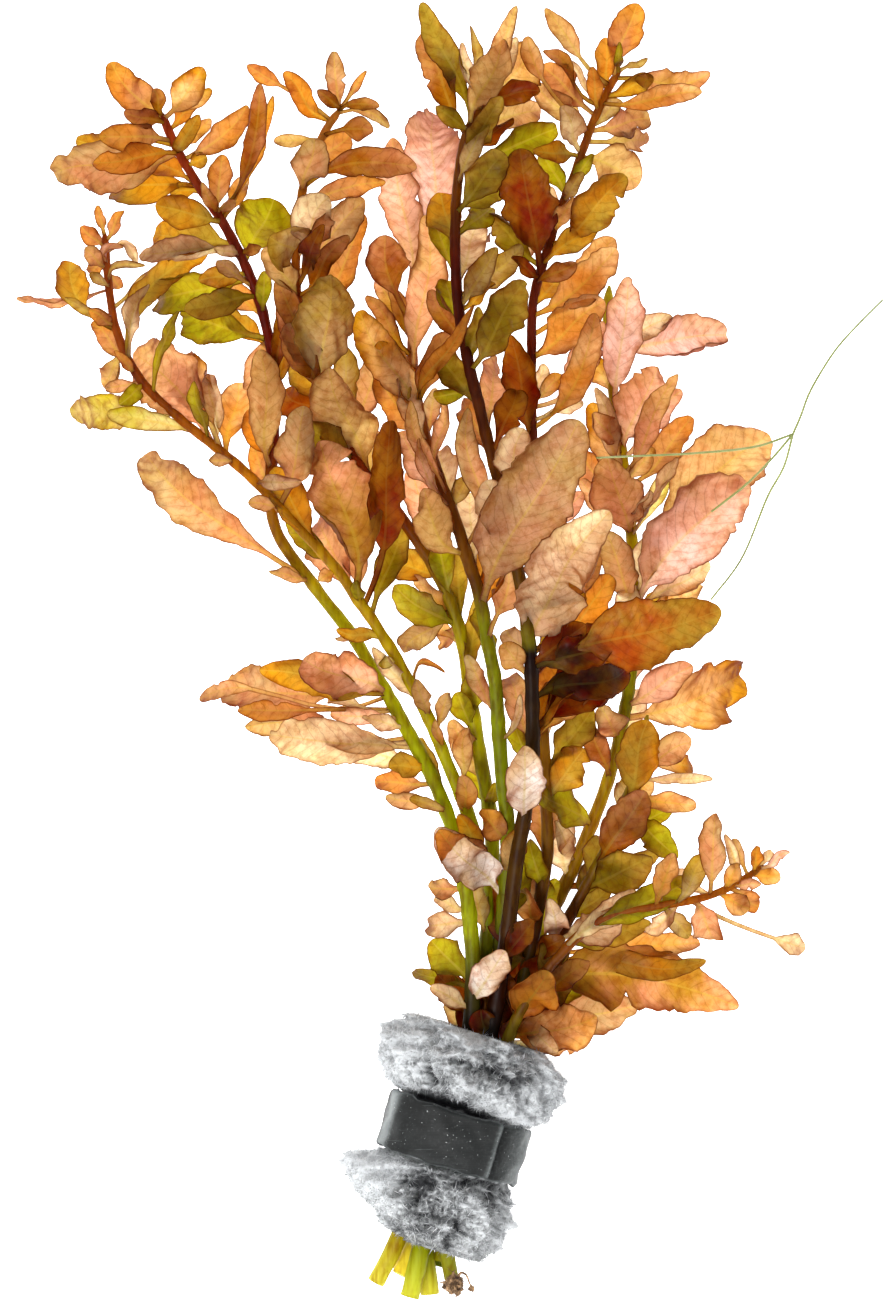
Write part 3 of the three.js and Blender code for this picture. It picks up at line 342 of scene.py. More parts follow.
stems["b"] = {
    "cut": 1.75, "tip": 0.85,
    "colours": [
        # the near-black stop at 21 mm, where the stem comes out of the wool, is painted shade
        (-28, "d4d040"), (-21, "b0a008"), (0, "a6ae08"), (21, "0e0a02"), (33, "443c04"), (42, "96a004"),
        (78, "9ca200"), (104, "a8a400"), (116, "927000"), (128, "8e5200"), (140, "701c00"),
        (168, "601000"), (186, "822c08"), (200, "9c3c0c"),
    ],
    "route": [
        [-15.9, -28.7, 16.5], [-11.2, -19.5, 17.9], [-3.8, 0, 17.9], [2.7, 21, 17.9], [3.6, 33, 20],
        [2.8, 45, 22.5], [0.6, 58, 23.5], [-3.4, 70, 23], [-8.7, 80.5, 21.5], [-15, 91.5, 20],
        [-21, 101.5, 19.5], [-29.5, 112.5, 20], [-35.5, 121.5, 21], [-37, 130, 23], [-36.1, 142, 26],
        [-36.4, 156, 30], [-39.4, 169, 33], [-45, 181, 36], [-51.5, 191, 38], [-56, 199, 39],
        [-58.5, 205, 39],
    ],
    "leaves": [
        [203, -68.3, 214.6, 5, 6.8, "rust", 0, 1], [203.5, -50, 213.5, 6, 6.4, "peach", 0, -0.6],
        [202.5, -65.6, 204.6, 8, 4, "brown"], [204, -59.8, 209.3, 4, 3.2, "brown"],
        [201, -51.3, 207.8, -4, 4, "ember"], [199, -70.5, 199.8, 7, 5.4, "rust", 0, -0.5],
        [197, -79.8, 193, -4, 10, "mauve", 0, 1], [198, -75.5, 199.8, -9, 5.5, "gold"],
        [196.5, -71.5, 194.5, 12, 5.5, "ember"], [190, -68, 191.4, -10, 8, "gold", 0, 0.3],
        [183, -59.5, 186.3, 5, 6.5, "olive"], [178.5, -60, 181, -12, 9.5, "olive"],
        [195.3, -41.2, 206, 5, 5.3, "rust", 15, -1.4], [197, -50.7, 204, 8, 3.2, "olive"],
        [184.5, -46.2, 196.3, 6, 4.8, "rust"], [184.5, -50.2, 190.6, 9, 2.6, "orange"],
        [184.8, -43.5, 187, 8, 2.8, "tan"], [184, -38.8, 210.5, 3, 4, "brown", 20, -2.5],
        [183.5, -41, 192, -4, 3.6, "orange"], [183, -36.3, 208.5, -6, 3, "ember", 0, -1],
        [176.5, -47.8, 177.8, 6, 2.6, "blush"], [177, -38.5, 178, 5, 2.8, "brown"],
        [175, -36.2, 188, -8, 12.5, "lime", 0, 0, 0.1, 0.3, 1.1],
        [159.5, -54.2, 166.5, -9, 9.3, "lime", 0, 1], [168, -53.8, 165.8, 4, 5.5, "moss"],
        [164, -46, 171, -4, 5, "orange"], [172, -59.3, 168, -15, 7.5, "lime"],
        [170, -47.3, 175.3, 6, 4, "mauve", 0, 0, 0.45], [173, -51, 171.5, 2, 4.6, "olive"],
        [165, -38, 173.3, 7, 3.2, "green"], [160, -41.7, 150, -5, 5, "salmon"],
        [134, -39, 157.8, 9, 7, "tan"], [136, -41.2, 146, 5, 6, "ember"],
        [111.3, -62, 137.3, -8, 9.6, "mauve", 0, 1.9, 0.1, 2, 1.75], [112, -37.2, 113.7, 4, 2.8, "mauve"],
        [89, -30, 96.3, 5, 9, "pink"], [89.5, -46, 91.5, onTable, 12, "mauve", 0, 1.5, 0.3, 3, 1.2],
        [89.2, -39, 94, 10, 6.6, "olive"], [88.5, -51.3, 88, -10, 3.2, "salmon", 0, 0, 0.66, 3],
        [79.5, -37, 81, -8, 9, "blush", 0, 1], [80.5, -42.3, 82.5, -18, 6.5, "mauve"],
        [82, -18.6, 84.6, 4, 3.2, "cream"], [74.5, -13.2, 74.5, 3, 5, "gold"],
        [71, -16, 71.3, -6, 4.6, "rust"], [66, -9, 68.4, 5, 2.4, "taupe"],
        [100.5, -24, 100.3, 3, 1.6, "cream"], [50, -5, 50.2, -3, 4.4, "mauve"],
        [43, -5.2, 42.8, -6, 5, "blush"], [31, -4.8, 39.8, -4, 6.8, "green"],
        [30, -8.3, 33.5, -8, 3.8, "green"], [26, -5, 30.5, 3, 4, "cream"], [27.5, 10, 38, 9, 6.6, "grey"],
        [203.5, -48.4, 209.4, 2, 3.2, "peach"], [176, -63, 176.8, -8, 5.5, "cream", 0, -1],
        [128, -40.2, 139.5, 2, 4, "rust"], [66, -6.8, 80.5, -3, 3.2, "moss"],
        [74, -23.8, 77.8, -5, 5.5, "cream", 0, -1], [86, -25.5, 87.5, -4, 2.6, "cream", 0, 0, 0.45],
        [148, -34.6, 167, 1, 3.4, "wine"], [190, -61.5, 196.8, -6, 5.5, "ember"],
        [158, -45.8, 165.5, -3, 4.6, "gold"], [78, -28, 82, -4, 5, "cream", 0, 1],
        [197, -48.5, 203.5, 2, 3.4, "orange"], [84, -25, 85.2, -1, 3.6, "pink"],
        [66.5, -13.8, 68.8, -2, 3.4, "mauve"], [188.5, -57, 190.3, -3, 3.4, "gold"],
        [149, -33.6, 158.5, 0, 3.4, "brown"], [194, -49.3, 196, 1, 3.4, "gold"],
        [46, -4.2, 48, -2, 3.2, "cream"], [86, -43.5, 86, -6, 4, "rust", 0, 0, 0.5],
    ],
}
stems["c"] = {
    "cut": 1.9, "tip": 0.9,
    "colours": [
        # the near-black stop at 21 mm, where the stem comes out of the wool, is painted shade
        (-31, "d0cc38"), (-22, "8c9400"), (0, "a8a808"), (21, "0a0602"), (35, "282404"), (46, "707402"),
        (60, "7a7e00"), (78, "788200"), (103, "7e7e00"), (111, "6a4200"), (140, "8c4c0a"),
        (180, "b06430"),
    ],
    "route": [
        [-5, -31.4, 13.5], [-5.9, -20, 14], [0.3, 0, 14], [6.8, 21, 14], [8.9, 34, 15.8], [9.8, 47, 19],
        [10.6, 60, 23], [9.7, 70, 27], [8.8, 81, 30], [8, 91, 33], [6.3, 101, 35], [4.8, 109, 36],
        [2.3, 117, 37], [-1, 126.5, 37], [-4.8, 137, 35], [-7.6, 148, 32], [-8.5, 160, 29],
        [-8.3, 173, 26], [-7, 186, 24],
    ],
    "leaves": [
        [157, -13.8, 180.5, 7, 8.8, "brown", 0, 0.5, 0.5], [153, -6, 184.5, 5, 7, "salmon", 0, -1],
        [165, -12.5, 200.5, -10, 7.8, "pink", 0, -0.8], [172, -4.2, 206, onTable, 10, "petal", 0, -1.6],
        [160, -13.2, 170.5, 5, 3.2, "brown"], [146.5, -0.5, 161.5, 8, 5.6, "brown", 0, 1],
        [145, 3.8, 166.3, 16, 3.6, "ember", 15, 1.5], [140, -3.8, 150.2, -6, 3.4, "mauve"],
        [143, -19, 165.5, 3, 7.6, "peach"], [144, -13.8, 160, 8, 5.8, "peach"],
        [124.5, -2.8, 137.8, -8, 7, "cream"], [112.5, 3, 129.3, -8, 8, "cream"],
        [117, -6.2, 130, 6, 7.5, "tan", 0, 2.5], [106.5, 24.5, 143.3, 18, 15, "fawn", 0, 1],
        [80, 13, 89.2, 5, 2, "blush", 25, -1.5], [60, 4.8, 65.5, 6, 5.4, "rust"],
        [53, 12.8, 62.6, 11, 4.6, "peach"], [141, -15.2, 159.2, 5, 5.6, "olive", 0, 0, 0.25],
        [139, -11.5, 152, 3, 5, "cream"], [128, -8.8, 147.5, 5, 3.2, "salmon", 30, 1],
        [126, -7.2, 140, 7, 3, "pink", 40, 1.5], [84, 2.2, 97, -4, 4, "mauve"],
        [94, 4.8, 106.5, -4, 4.4, "green"], [118, 2.6, 146, 6, 4.6, "mauve", 20, -2],
        [107, 5.4, 119.5, -3, 4, "ember"], [160, -15.8, 172.5, -2, 3.6, "bronze"],
        [133, -2.2, 148.5, 3, 3.4, "salmon", 30], [48, -3.6, 62.6, 12, 8.4, "grey"],
        [20, 4, 33, 2, 6, "wine"], [40, 6.2, 54, -4, 5.5, "wine"], [20, 6.6, 29, 3, 5.5, "soot"],
        [19, 3.4, 25.5, -3, 5, "wine"], [126, -10.8, 141.5, -3, 6.2, "pink"],
        [137, -15.5, 152.5, -2, 5.6, "rust"], [156, -17.8, 168.5, 2, 3.6, "brown"],
        [99, 10.6, 114, 1, 5.4, "mauve", 0, -0.6, 0.35], [104, 7.5, 117, -3, 4.6, "ember"],
        [19, 7.8, 24.5, 3, 5, "soot"], [125, 2.3, 133, -2, 3.6, "taupe"],
    ],
}
stems["d"] = {
    "cut": 1.9, "tip": 0.75,
    "colours": [
        # the near-black stop at 21 mm, where the stem comes out of the wool, is painted shade
        (-25, "e0c840"), (-20, "c0a018"), (0, "b4b01c"), (21, "0c0802"), (37, "3a3404"), (50, "8a8c02"),
        (74, "989a00"), (94, "aca000"), (108, "927c00"), (116, "784c00"), (128, "803000"),
        (160, "8c3800"), (186, "9a5c04"), (200, "b07024"),
    ],
    "route": [
        [-13.6, -25.2, 9.6], [-10, -20, 10.1], [-3.8, 0, 10.1], [2.7, 21, 10.1], [5.5, 34, 10.6],
        [7.2, 48, 12.5], [7.5, 60, 15], [6, 71, 18], [4.3, 81, 20], [2.8, 91, 22], [1.2, 101, 24],
        [-1.5, 109, 26], [-6, 117.5, 27], [-12, 126, 28], [-18.5, 134, 30], [-24.5, 144, 32],
        [-29, 156, 34], [-31.5, 170, 36], [-31, 184, 37], [-29, 194, 38], [-25.5, 201.5, 38],
        [-22.5, 206, 38],
    ],
    "leaves": [
        [205, -24, 216.8, 4, 4, "mauve"], [203, -41.3, 214.2, 2, 3.2, "rust", 0, -0.4, 0.6],
        [205.5, -27.3, 209, 6, 2.8, "brown"], [205.6, -17.6, 213, 3, 1.7, "rust"],
        [205, -15, 205.8, 6, 2.6, "brown", 0, 1], [204.5, -13.2, 201.8, -2, 2.4, "mauve", 0, 2],
        [200, -16.2, 201, 4, 4.6, "brown", 0, 0.9, 0.4], [199, -36, 199.5, -3, 2.8, "tan"],
        [189, -28, 199.5, 5, 7.5, "mauve"], [186, -13.8, 190.8, 6, 4.2, "rust", 0, 1],
        [190, -7.6, 193.5, 8, 6.2, "brown", 0, 2.9, 0.14, 0.25, 1.4], [194, -21, 200.5, -5, 5, "rust"],
        [177, -36.8, 180, 6, 9, "taupe"], [176, -25, 187.8, 8, 8.6, "blush"],
        [172, -18, 187.5, 3, 7.5, "mauve"], [170, -26, 182.2, 13, 4.2, "wine"],
        [168, -21, 180, 8, 4.4, "brown"], [149, -24.6, 172.3, 13, 11.5, "taupe"],
        [132.5, -25, 154, 4, 11.5, "tan"], [136, -30.2, 142.6, 6, 6.6, "moss"],
        [150, -33.2, 163, 5, 6.6, "brown"], [158, -35.3, 171.5, 5, 4.8, "brown"],
        [146, -32, 157, -5, 7, "gold"], [143, -34, 150, -9, 7, "wine"],
        [112.5, -13.6, 116.3, -4, 6.4, "gold"], [102.8, -12, 111, 4, 6.6, "green", 0, 1],
        [107, -10.2, 97.5, -8, 4.8, "taupe"], [103.3, -3.2, 98, -5, 3.4, "mauve"],
        [85, 3.6, 93.2, 4, 4.6, "green"], [79, 0.4, 89.6, 4, 4.6, "green", 0, 0, 0.4],
        [66, 8, 71.5, 5, 3.2, "green"], [50, 7.5, 57.5, -4, 3.6, "wine"], [25, 1.5, 32, -2, 4, "wine"],
        [146, -35.3, 169.5, 2, 5.2, "brown"], [168, -37.8, 178, 3, 5.5, "tan"],
        [203, -34, 212.8, 1, 4.2, "ember", 0, 1], [140, -22.2, 158.5, 3, 6, "taupe"],
        [130, -18.2, 144.5, -2, 4.5, "tan"], [98, -11, 109.5, -6, 4.5, "peach"],
        [108, -3.5, 121, 3, 5, "green"], [100, -3, 112, -2, 4, "lime"], [70, -0.8, 84, 3, 5, "tan"],
        [64, 3.2, 77, -3, 4.5, "lime"], [20, -1.5, 31, 3, 5, "tan"],
        [115, -8.6, 134.5, 1, 6, "pink", 0, -1], [138, -15.8, 159, 1, 6, "mauve", 0, -1],
        [91, 4.2, 108.5, 1, 3.6, "moss"], [102, 0.6, 118.5, 1, 3.4, "moss"],
        [160, -18.3, 184.8, 1, 5, "rust", 0, -1.2], [103, -8.3, 112.8, 1, 4.6, "orange"],
    ],
}
stems["e"] = {
    "cut": 1.9, "tip": 0.85,
    "colours": [
        # the near-black stop at 21 mm, where the stem comes out of the wool, is painted shade
        (-31, "ccd038"), (-22, "98a000"), (0, "7e8a08"), (12, "3a2400"), (21, "0a0400"), (32, "301000"),
        (54, "4e3000"), (84, "301c00"), (97.5, "1c0400"), (100, "7a7408"), (104, "604400"),
        (137, "643400"), (150, "4a1a00"), (175, "581200"), (192, "6e3c00"), (206, "7c4400"),
    ],
    "route": [
        [-9, -31.6, 17], [-6.3, -20, 17.9], [0.3, 0, 17.9], [6.8, 21, 17.9], [9.2, 33, 20],
        [10.8, 44, 23.5], [12.4, 57, 27.5], [14.3, 68, 31], [15.5, 80, 34], [15.2, 92, 37],
        [14.5, 101, 39], [12.8, 112, 41], [10.5, 123, 43], [8, 134, 44], [5, 145, 44.5], [2.7, 155, 45],
        [0.6, 166, 45], [0, 178, 45], [0.5, 190, 45], [2.2, 200, 44], [5.2, 205.5, 43], [8, 209, 42],
    ],
    "leaves": [
        [202, -6.6, 226.2, 5, 5.6, "moss", 25, -0.8], [200, -6.8, 220.3, -4, 6.2, "brown", 0, 0],
        [205, 1.4, 218.3, 4, 2.8, "cream"], [206.5, 3, 221.8, 2, 2.1, "taupe"],
        [204.5, 12.1, 225.3, 9, 4.2, "tan"], [208, 12.2, 219.5, 2, 3.8, "blush"],
        [207.5, 16.8, 208.6, 7, 5, "wine"], [206, 16.3, 217.3, -7, 9.5, "peach"],
        [202, 17, 205.5, -10, 6, "tan"], [184.5, 9.6, 196.2, 8, 7.4, "moss"],
        [194, 9.2, 207.3, 11, 5, "moss"], [193, 20.2, 201.8, -8, 6.4, "green"],
        [177, -2.8, 188.8, -6, 7.4, "olive"], [180, 7.2, 186, -10, 5, "green"],
        [190, 6.2, 203.6, 7, 4.2, "taupe", 30], [201, -3.8, 205.5, 6, 3.6, "moss"],
        [170, 4.8, 183.3, -20, 7.6, "cream"], [162.5, -2.4, 171.6, -7, 5.8, "green"],
        [165, 8.3, 177.6, 6, 5, "taupe"], [153, 13.8, 171, 6, 8.6, "moss"],
        [149.5, -4.2, 148.4, -6, 3.6, "green"], [135, 1.6, 147.7, -9, 5, "rust"],
        [141, 8.3, 155.5, -12, 5.8, "salmon"], [128, 13.6, 141.8, 7, 7.4, "blush"],
        [119, 5.9, 131.5, 6, 8.4, "cream"], [100, 30.6, 125.3, 18, 14, "blush", 0, 1.5, 0.03, 1, 0.7],
        [97.5, 31, 103.5, -4, 4.8, "wine"], [94.5, 52.7, 106, 6, 13, "sear", 0, 0.3, 0.3, 0.2, 0.75],
        [92, 9.3, 99.2, 3, 5.4, "peach", 0, 0, 0.4], [80, 19, 91.3, -5, 5.6, "gold"],
        [79.5, 27.5, 94.5, -8, 7.5, "orange"], [96, 26, 115.5, -6, 8, "gold"],
        [103, 28.8, 116.5, 2, 5, "brown"], [64, 13.8, 79, 12, 8, "grey", 0, 0, 0.1, 0],
        [36, 15.8, 44, 5, 5, "wine"], [201.5, 9.3, 218.8, 6, 7, "tan"], [136, 12.3, 149.5, -5, 6, "wine"],
        [166, 13.2, 178.5, -4, 5.5, "taupe"], [172, -4.9, 184.5, -8, 4, "lime"],
        [156, -4.8, 169.5, -5, 4, "brown"], [82, 33.5, 99.8, -14, 12, "wine"],
        [78, 22.6, 98, -9, 8, "ember"], [88, 34, 94, -12, 7, "soot"], [78, 10.8, 92.5, -8, 6, "salmon"],
        [22, 5.5, 34, -6, 6, "wine"], [42, 13.5, 57, -7, 6, "green"], [20, 9.6, 29.5, -3, 6.5, "soot"],
        [28, 6.6, 40, -5, 6, "wine"], [30, 12.4, 43, -6, 6, "moss"], [19, 5.2, 26, 2, 5, "soot"],
        [146, -3.6, 157, -6, 6, "moss"], [73, 11.8, 84.5, -4, 4.4, "green"], [24, 9.6, 35, -4, 6, "wine"],
        [36, 9.2, 49, -5, 5.5, "wine"], [19, 11.6, 25.5, -2, 5.5, "wine"],
        [154, 4.6, 166, 2, 3.4, "moss"], [196, 11.5, 203.3, 3, 4.2, "wine"],
        [186, 10.5, 189, -2, 4.4, "moss"], [96.5, 10.2, 102, -2, 4.4, "blush"],
        [165, 8, 170.5, 1, 3, "gold"], [94, 31.5, 99.5, 3, 7.5, "soot"], [95, 26, 103, 2, 6, "wine"],
    ],
}
stems["f"] = {
    "cut": 1.5, "tip": 0.75,
    "colours": [
        (0, "8f8a08"), (21, "5c5a08"), (40, "3a1800"), (77, "9a6a06"), (90, "421400"), (110, "6a3408"),
        (158, "661c00"), (176, "6a2400"), (192, "7e4400"), (210, "a85c06"),
    ],
    "route": [
        [-2.9, -24.6, 13.8], [-1.8, -20, 14], [4.4, 0, 14], [10.9, 21, 14], [14, 33, 14.5],
        [16.5, 45, 16], [18.4, 57, 18], [18.3, 68, 20], [17.8, 80, 22], [17.7, 92, 24], [18, 104, 26],
        [17.5, 117, 28], [16.3, 130, 31], [15.3, 142, 34], [15.2, 155, 36], [15.7, 168, 38],
        [18.5, 178, 39], [21.5, 187, 39], [24.5, 195, 39], [27.5, 203, 39], [30.5, 209.5, 39],
        [33, 213.5, 39],
    ],
    "leaves": [
        [200.5, 14.3, 219.8, 3, 4, "orange", 0, 2, 0.6], [204, 17.2, 214.3, -5, 6.4, "rust"],
        [206, 22.6, 215.5, -8, 1.8, "blush"], [196.5, 21, 205.8, 5, 5.4, "cream"],
        [196, 15.4, 197, 6, 4.2, "olive"], [210, 17.8, 225.3, 3, 4, "tan", 0, 0.8, 0.4],
        [211.5, 36.2, 226.2, 5, 6.6, "rust", 0, 0.8], [212.5, 32.6, 218.4, 8, 2, "green"],
        [209, 29.8, 219.6, 2, 4.8, "ember"], [213, 38.2, 215.4, 4, 1.8, "taupe"],
        [211.5, 50.8, 212.9, -4, 5.8, "bronze", 0, -1.6], [206.5, 49, 208.8, 3, 4.2, "orange", 0, -0.6],
        [205, 27.2, 213.6, 6, 3.4, "ember"], [201, 38.8, 204, -9, 6.4, "mauve", 0, 0, 0.14, 3],
        [199, 38.6, 199.6, -13, 4.8, "tan", 0, 0, 0.14, 3], [195.5, 36.6, 190.5, 4, 9.4, "tan", 0, 1],
        [178, 33.7, 192, 8, 8.4, "gold", 0, -1], [180.5, 23.3, 187.8, 8, 3.8, "orange"],
        [187, 25.4, 192.6, 7, 3, "taupe"], [173, 12.8, 197.3, 9, 10.2, "wine"],
        [173.8, 6.8, 184.3, 5, 5.6, "moss"], [177.5, 19, 190.3, -5, 3.4, "cream"],
        [176, 15.8, 187, -3, 3.2, "cream"], [139, 11, 160.6, 5, 6.8, "wine"],
        [156, 29.7, 167.3, 4, 8.4, "orange"], [160, 31.2, 180.3, -4, 6.8, "orange", 0, -2, 0.3],
        [142, 27.8, 164.8, 8, 5.8, "orange", 0, -3.2], [171, 23.8, 174.8, 7, 4, "brown"],
        [171.5, 11.2, 175.8, 5, 3, "wine"], [166, 21.3, 172.3, -6, 4.6, "gold"],
        [68, 25.8, 78.3, 5, 8, "olive"], [50, 14.8, 60, 3, 4.6, "green"],
        [42, 13.8, 50.3, 4, 5.4, "orange"], [36, 22, 40.3, 4, 4.6, "wine"], [26, 20.5, 32, 3, 4, "gold"],
        [164, 32, 177.8, 2, 7.5, "orange", 0, -1.5], [174, 29.6, 184.6, 2, 5, "gold"],
        [188, 17, 198.5, -3, 5, "green"], [146, 29.5, 163.5, -4, 6, "pink", 0, -3],
        [147, 21.5, 152.5, 2, 3.4, "peach"], [56, 16.2, 67, -4, 4, "brown"],
        [20, 17.2, 31, -4, 6, "orange"], [40, 15.2, 54.5, -3, 5.5, "cream"],
        [174, 11.6, 176.8, -4, 4, "blush", 20, -3], [19, 12.6, 27.5, -3, 6, "soot"],
        [28, 12.2, 38.5, -4, 6, "wine"], [58, 22.4, 70, -4, 5, "petal"], [80, 21.6, 92, -4, 6, "cream"],
        [73, 27.6, 86.3, 2, 6.4, "moss"], [97, 31.3, 112.8, 2, 7, "ember", 0, -1, 0.3],
        [143.5, 25.6, 147, 1, 3.2, "cream", 0, 0.5, 0.4], [200, 16.2, 210.8, -3, 5.2, "tan"],
        [18, 6.5, 23.5, 3, 5.5, "soot"], [208, 39.5, 211.5, 0, 4.2, "gold"],
        [202, 33.3, 207, -1, 3.6, "taupe"], [190, 27.5, 196.5, 1, 3, "lime"],
        [122, 25.6, 129.5, -2, 5, "pink"], [147, 17.8, 155, -3, 3, "blush"],
        [206, 17.5, 217.2, -3, 3, "brown", 0, 0, 0.4],
    ],
}
stems["g"] = {
    "cut": 1.6, "tip": 0.95,
    "colours": [
        (0, "8c8e00"), (34, "2c0c00"), (48, "7c5e00"), (63, "a47c00"), (88, "848200"), (115, "a49200"),
        (140, "b09404"), (165, "b8ac20"),
    ],
    "route": [
        [-7.2, -27.4, 9.8], [-5.9, -20, 10.1], [0.3, 0, 10.1], [6.8, 21, 10.1], [11, 31, 9.2],
        [17, 41, 8.6], [22, 50.5, 10], [26.5, 60.5, 12], [30.5, 71, 14], [33, 81, 16], [35, 91, 17],
        [36.3, 102, 18], [36.3, 112, 19], [35, 123, 19], [33.8, 134, 18.5], [32.7, 143, 18],
        [31.3, 153, 17], [30.6, 163, 16], [31, 171, 15],
    ],
    "leaves": [
        [147, 34.6, 172.6, 5, 7.6, "petal"], [158, 54.7, 161.5, onTable, 8.4, "petal", 0, 0.3, 0.04, 0.2],
        [138, 40.5, 154.5, 6, 10, "pink"], [133, 44.5, 153, 10, 4.6, "salmon", 25],
        [130, 47.6, 144.7, -4, 6.2, "rust", 0, -1], [120.5, 44.5, 136.3, 6, 4.8, "cream", 25],
        [122, 38.8, 129.8, 9, 4, "cream"], [109, 39.8, 121.5, 4, 5.6, "cream"],
        [107, 58.3, 131.5, 5, 14, "petal", 0, 2, 0.1, 1, 1.1], [116, 63.2, 141, -8, 14.5, "tan", 0, 1.5],
        [104, 30.3, 121.6, 7, 6.6, "mauve"], [112, 33, 103.5, 5, 5.2, "cream"],
        [121, 30.3, 136.6, 10, 10, "salmon"], [138.5, 27.5, 145.3, 6, 5.2, "salmon"],
        [84, 57.3, 93, onTable, 11.6, "peach", 0, -1.5, 0.1, 1.5], [86.5, 47.6, 94.8, 4, 6.6, "pink"],
        [80, 29, 86.8, 8, 6.6, "mauve"], [72, 27, 83.5, 9, 4.6, "brown"],
        [62.5, 16.8, 70, 10, 7.4, "lime"], [55, 20, 63.8, 8, 3.8, "blush"],
        [47.5, 14.5, 53, 7, 5, "peach"], [50, 33.2, 52.5, -3, 4.2, "wine"],
        [128, 27.2, 147.5, -3, 6, "peach"], [124, 25.6, 138, -5, 6.5, "rust"],
        [121, 45.8, 137.5, -4, 3.4, "straw"], [159, 43.5, 164.5, -6, 4.6, "blush"],
        [133, 28, 150.5, 3, 4, "blush"], [26, 22.5, 38, 6, 6, "wine"], [38, 20.5, 52, 5, 5.5, "green"],
        [52, 19.5, 66.5, 6, 6, "cream"], [20, 11.4, 28, 3, 6, "wine"], [22, 9.5, 33, 3, 6, "wine"],
        [80, 38, 90, -5, 5, "cream"], [90, 40.5, 103, -5, 5.5, "pink"],
        [103, 49.6, 110.8, 1, 5.6, "orange"], [148, 27.6, 157, 1, 4.8, "peach"],
        [121, 25, 132, 2, 5, "salmon"], [136, 45.4, 150, 1, 5.2, "pink"], [18.5, 9, 24.5, 1, 5, "soot"],
        [19, 5.5, 26, -3, 6, "soot"], [106, 51, 115.5, 0, 4.5, "blush"],
        [104, 44.5, 112, 0, 4.2, "olive"], [131, 39.8, 138.5, 1, 4, "peach"],
    ],
}
stems["h"] = {
    "cut": 1.5, "tip": 0.9,
    "colours": [
        (0, "5e6a06"), (37, "420800"), (49, "5e3600"), (56, "745a00"), (62, "382600"), (76, "a08408"),
        (85, "b8a820"),
    ],
    "route": [
        [-3.4, -25.8, 9.9], [-1.8, -20, 10.1], [4.4, 0, 10.1], [10.9, 21, 10.1], [16, 31, 10.5],
        [20.5, 39.5, 12.5], [24.5, 47.5, 15], [28.3, 54.5, 18], [32, 62, 21], [35, 70, 23],
        [37.3, 78, 24], [38.5, 85, 24.5],
    ],
    "leaves": [
        [34, 33.2, 46.8, 17, 7.6, "cream", 0, 1, 0.35], [66, 44.5, 56.5, 5, 5.6, "green"],
        [68, 48.2, 66.8, 4, 4.2, "orange"], [72, 51.5, 72.2, 2, 2.2, "blush"],
        [63, 35.5, 73, -5, 5, "taupe"], [75, 47.3, 79.5, -3, 6.4, "salmon"],
        [77, 47.6, 74.5, -8, 4.2, "peach"], [68, 38.5, 84, 6, 8, "olive"], [55, 38, 69.8, 9, 8, "brown"],
        [50, 39.3, 56.6, 10, 8.4, "moss"], [31.5, 57.2, 26, -8, 13, "bronze", 0, 3.4, 0.1, 0.2, 0.66],
        [37, 49.3, 39, -9, 5.2, "orange"], [38, 39.3, 43.3, 5, 5.6, "moss"],
        [24, 36.5, 26.5, -6, 8.5, "mauve", 0, -1], [24, 20.5, 17.5, 14, 4.2, "cream"],
        [33, 50.5, 35.5, -4, 5, "gold", 0, 1], [60, 39.5, 72.3, -2, 5.5, "orange"],
        [40, 18.8, 48.3, 10, 4.8, "grey"], [50, 29, 60.5, -4, 4.5, "moss"], [22, 27, 20, 4, 9, "orange"],
        [22, 24, 33, 5, 7, "moss"], [20, 14.6, 26.5, -2, 5, "wine"], [30, 17.5, 41, -4, 5.5, "wine"],
        [45, 29.5, 56, -5, 5, "moss"], [50, 42, 58.4, 2, 4.6, "moss"], [42.5, 31.3, 51, 1, 4.2, "moss"],
        [60, 43.8, 66.5, 1, 4.8, "green"], [20, 28.4, 24.6, 8, 9.4, "orange", 0, -0.6, 0.1, 0.2],
        [19, 24.5, 18.6, 2, 5, "cream", 20], [19, 3.8, 22.8, 5, 4.6, "soot"],
        [24, 28.5, 32, -2, 4.6, "green"],
    ],
}
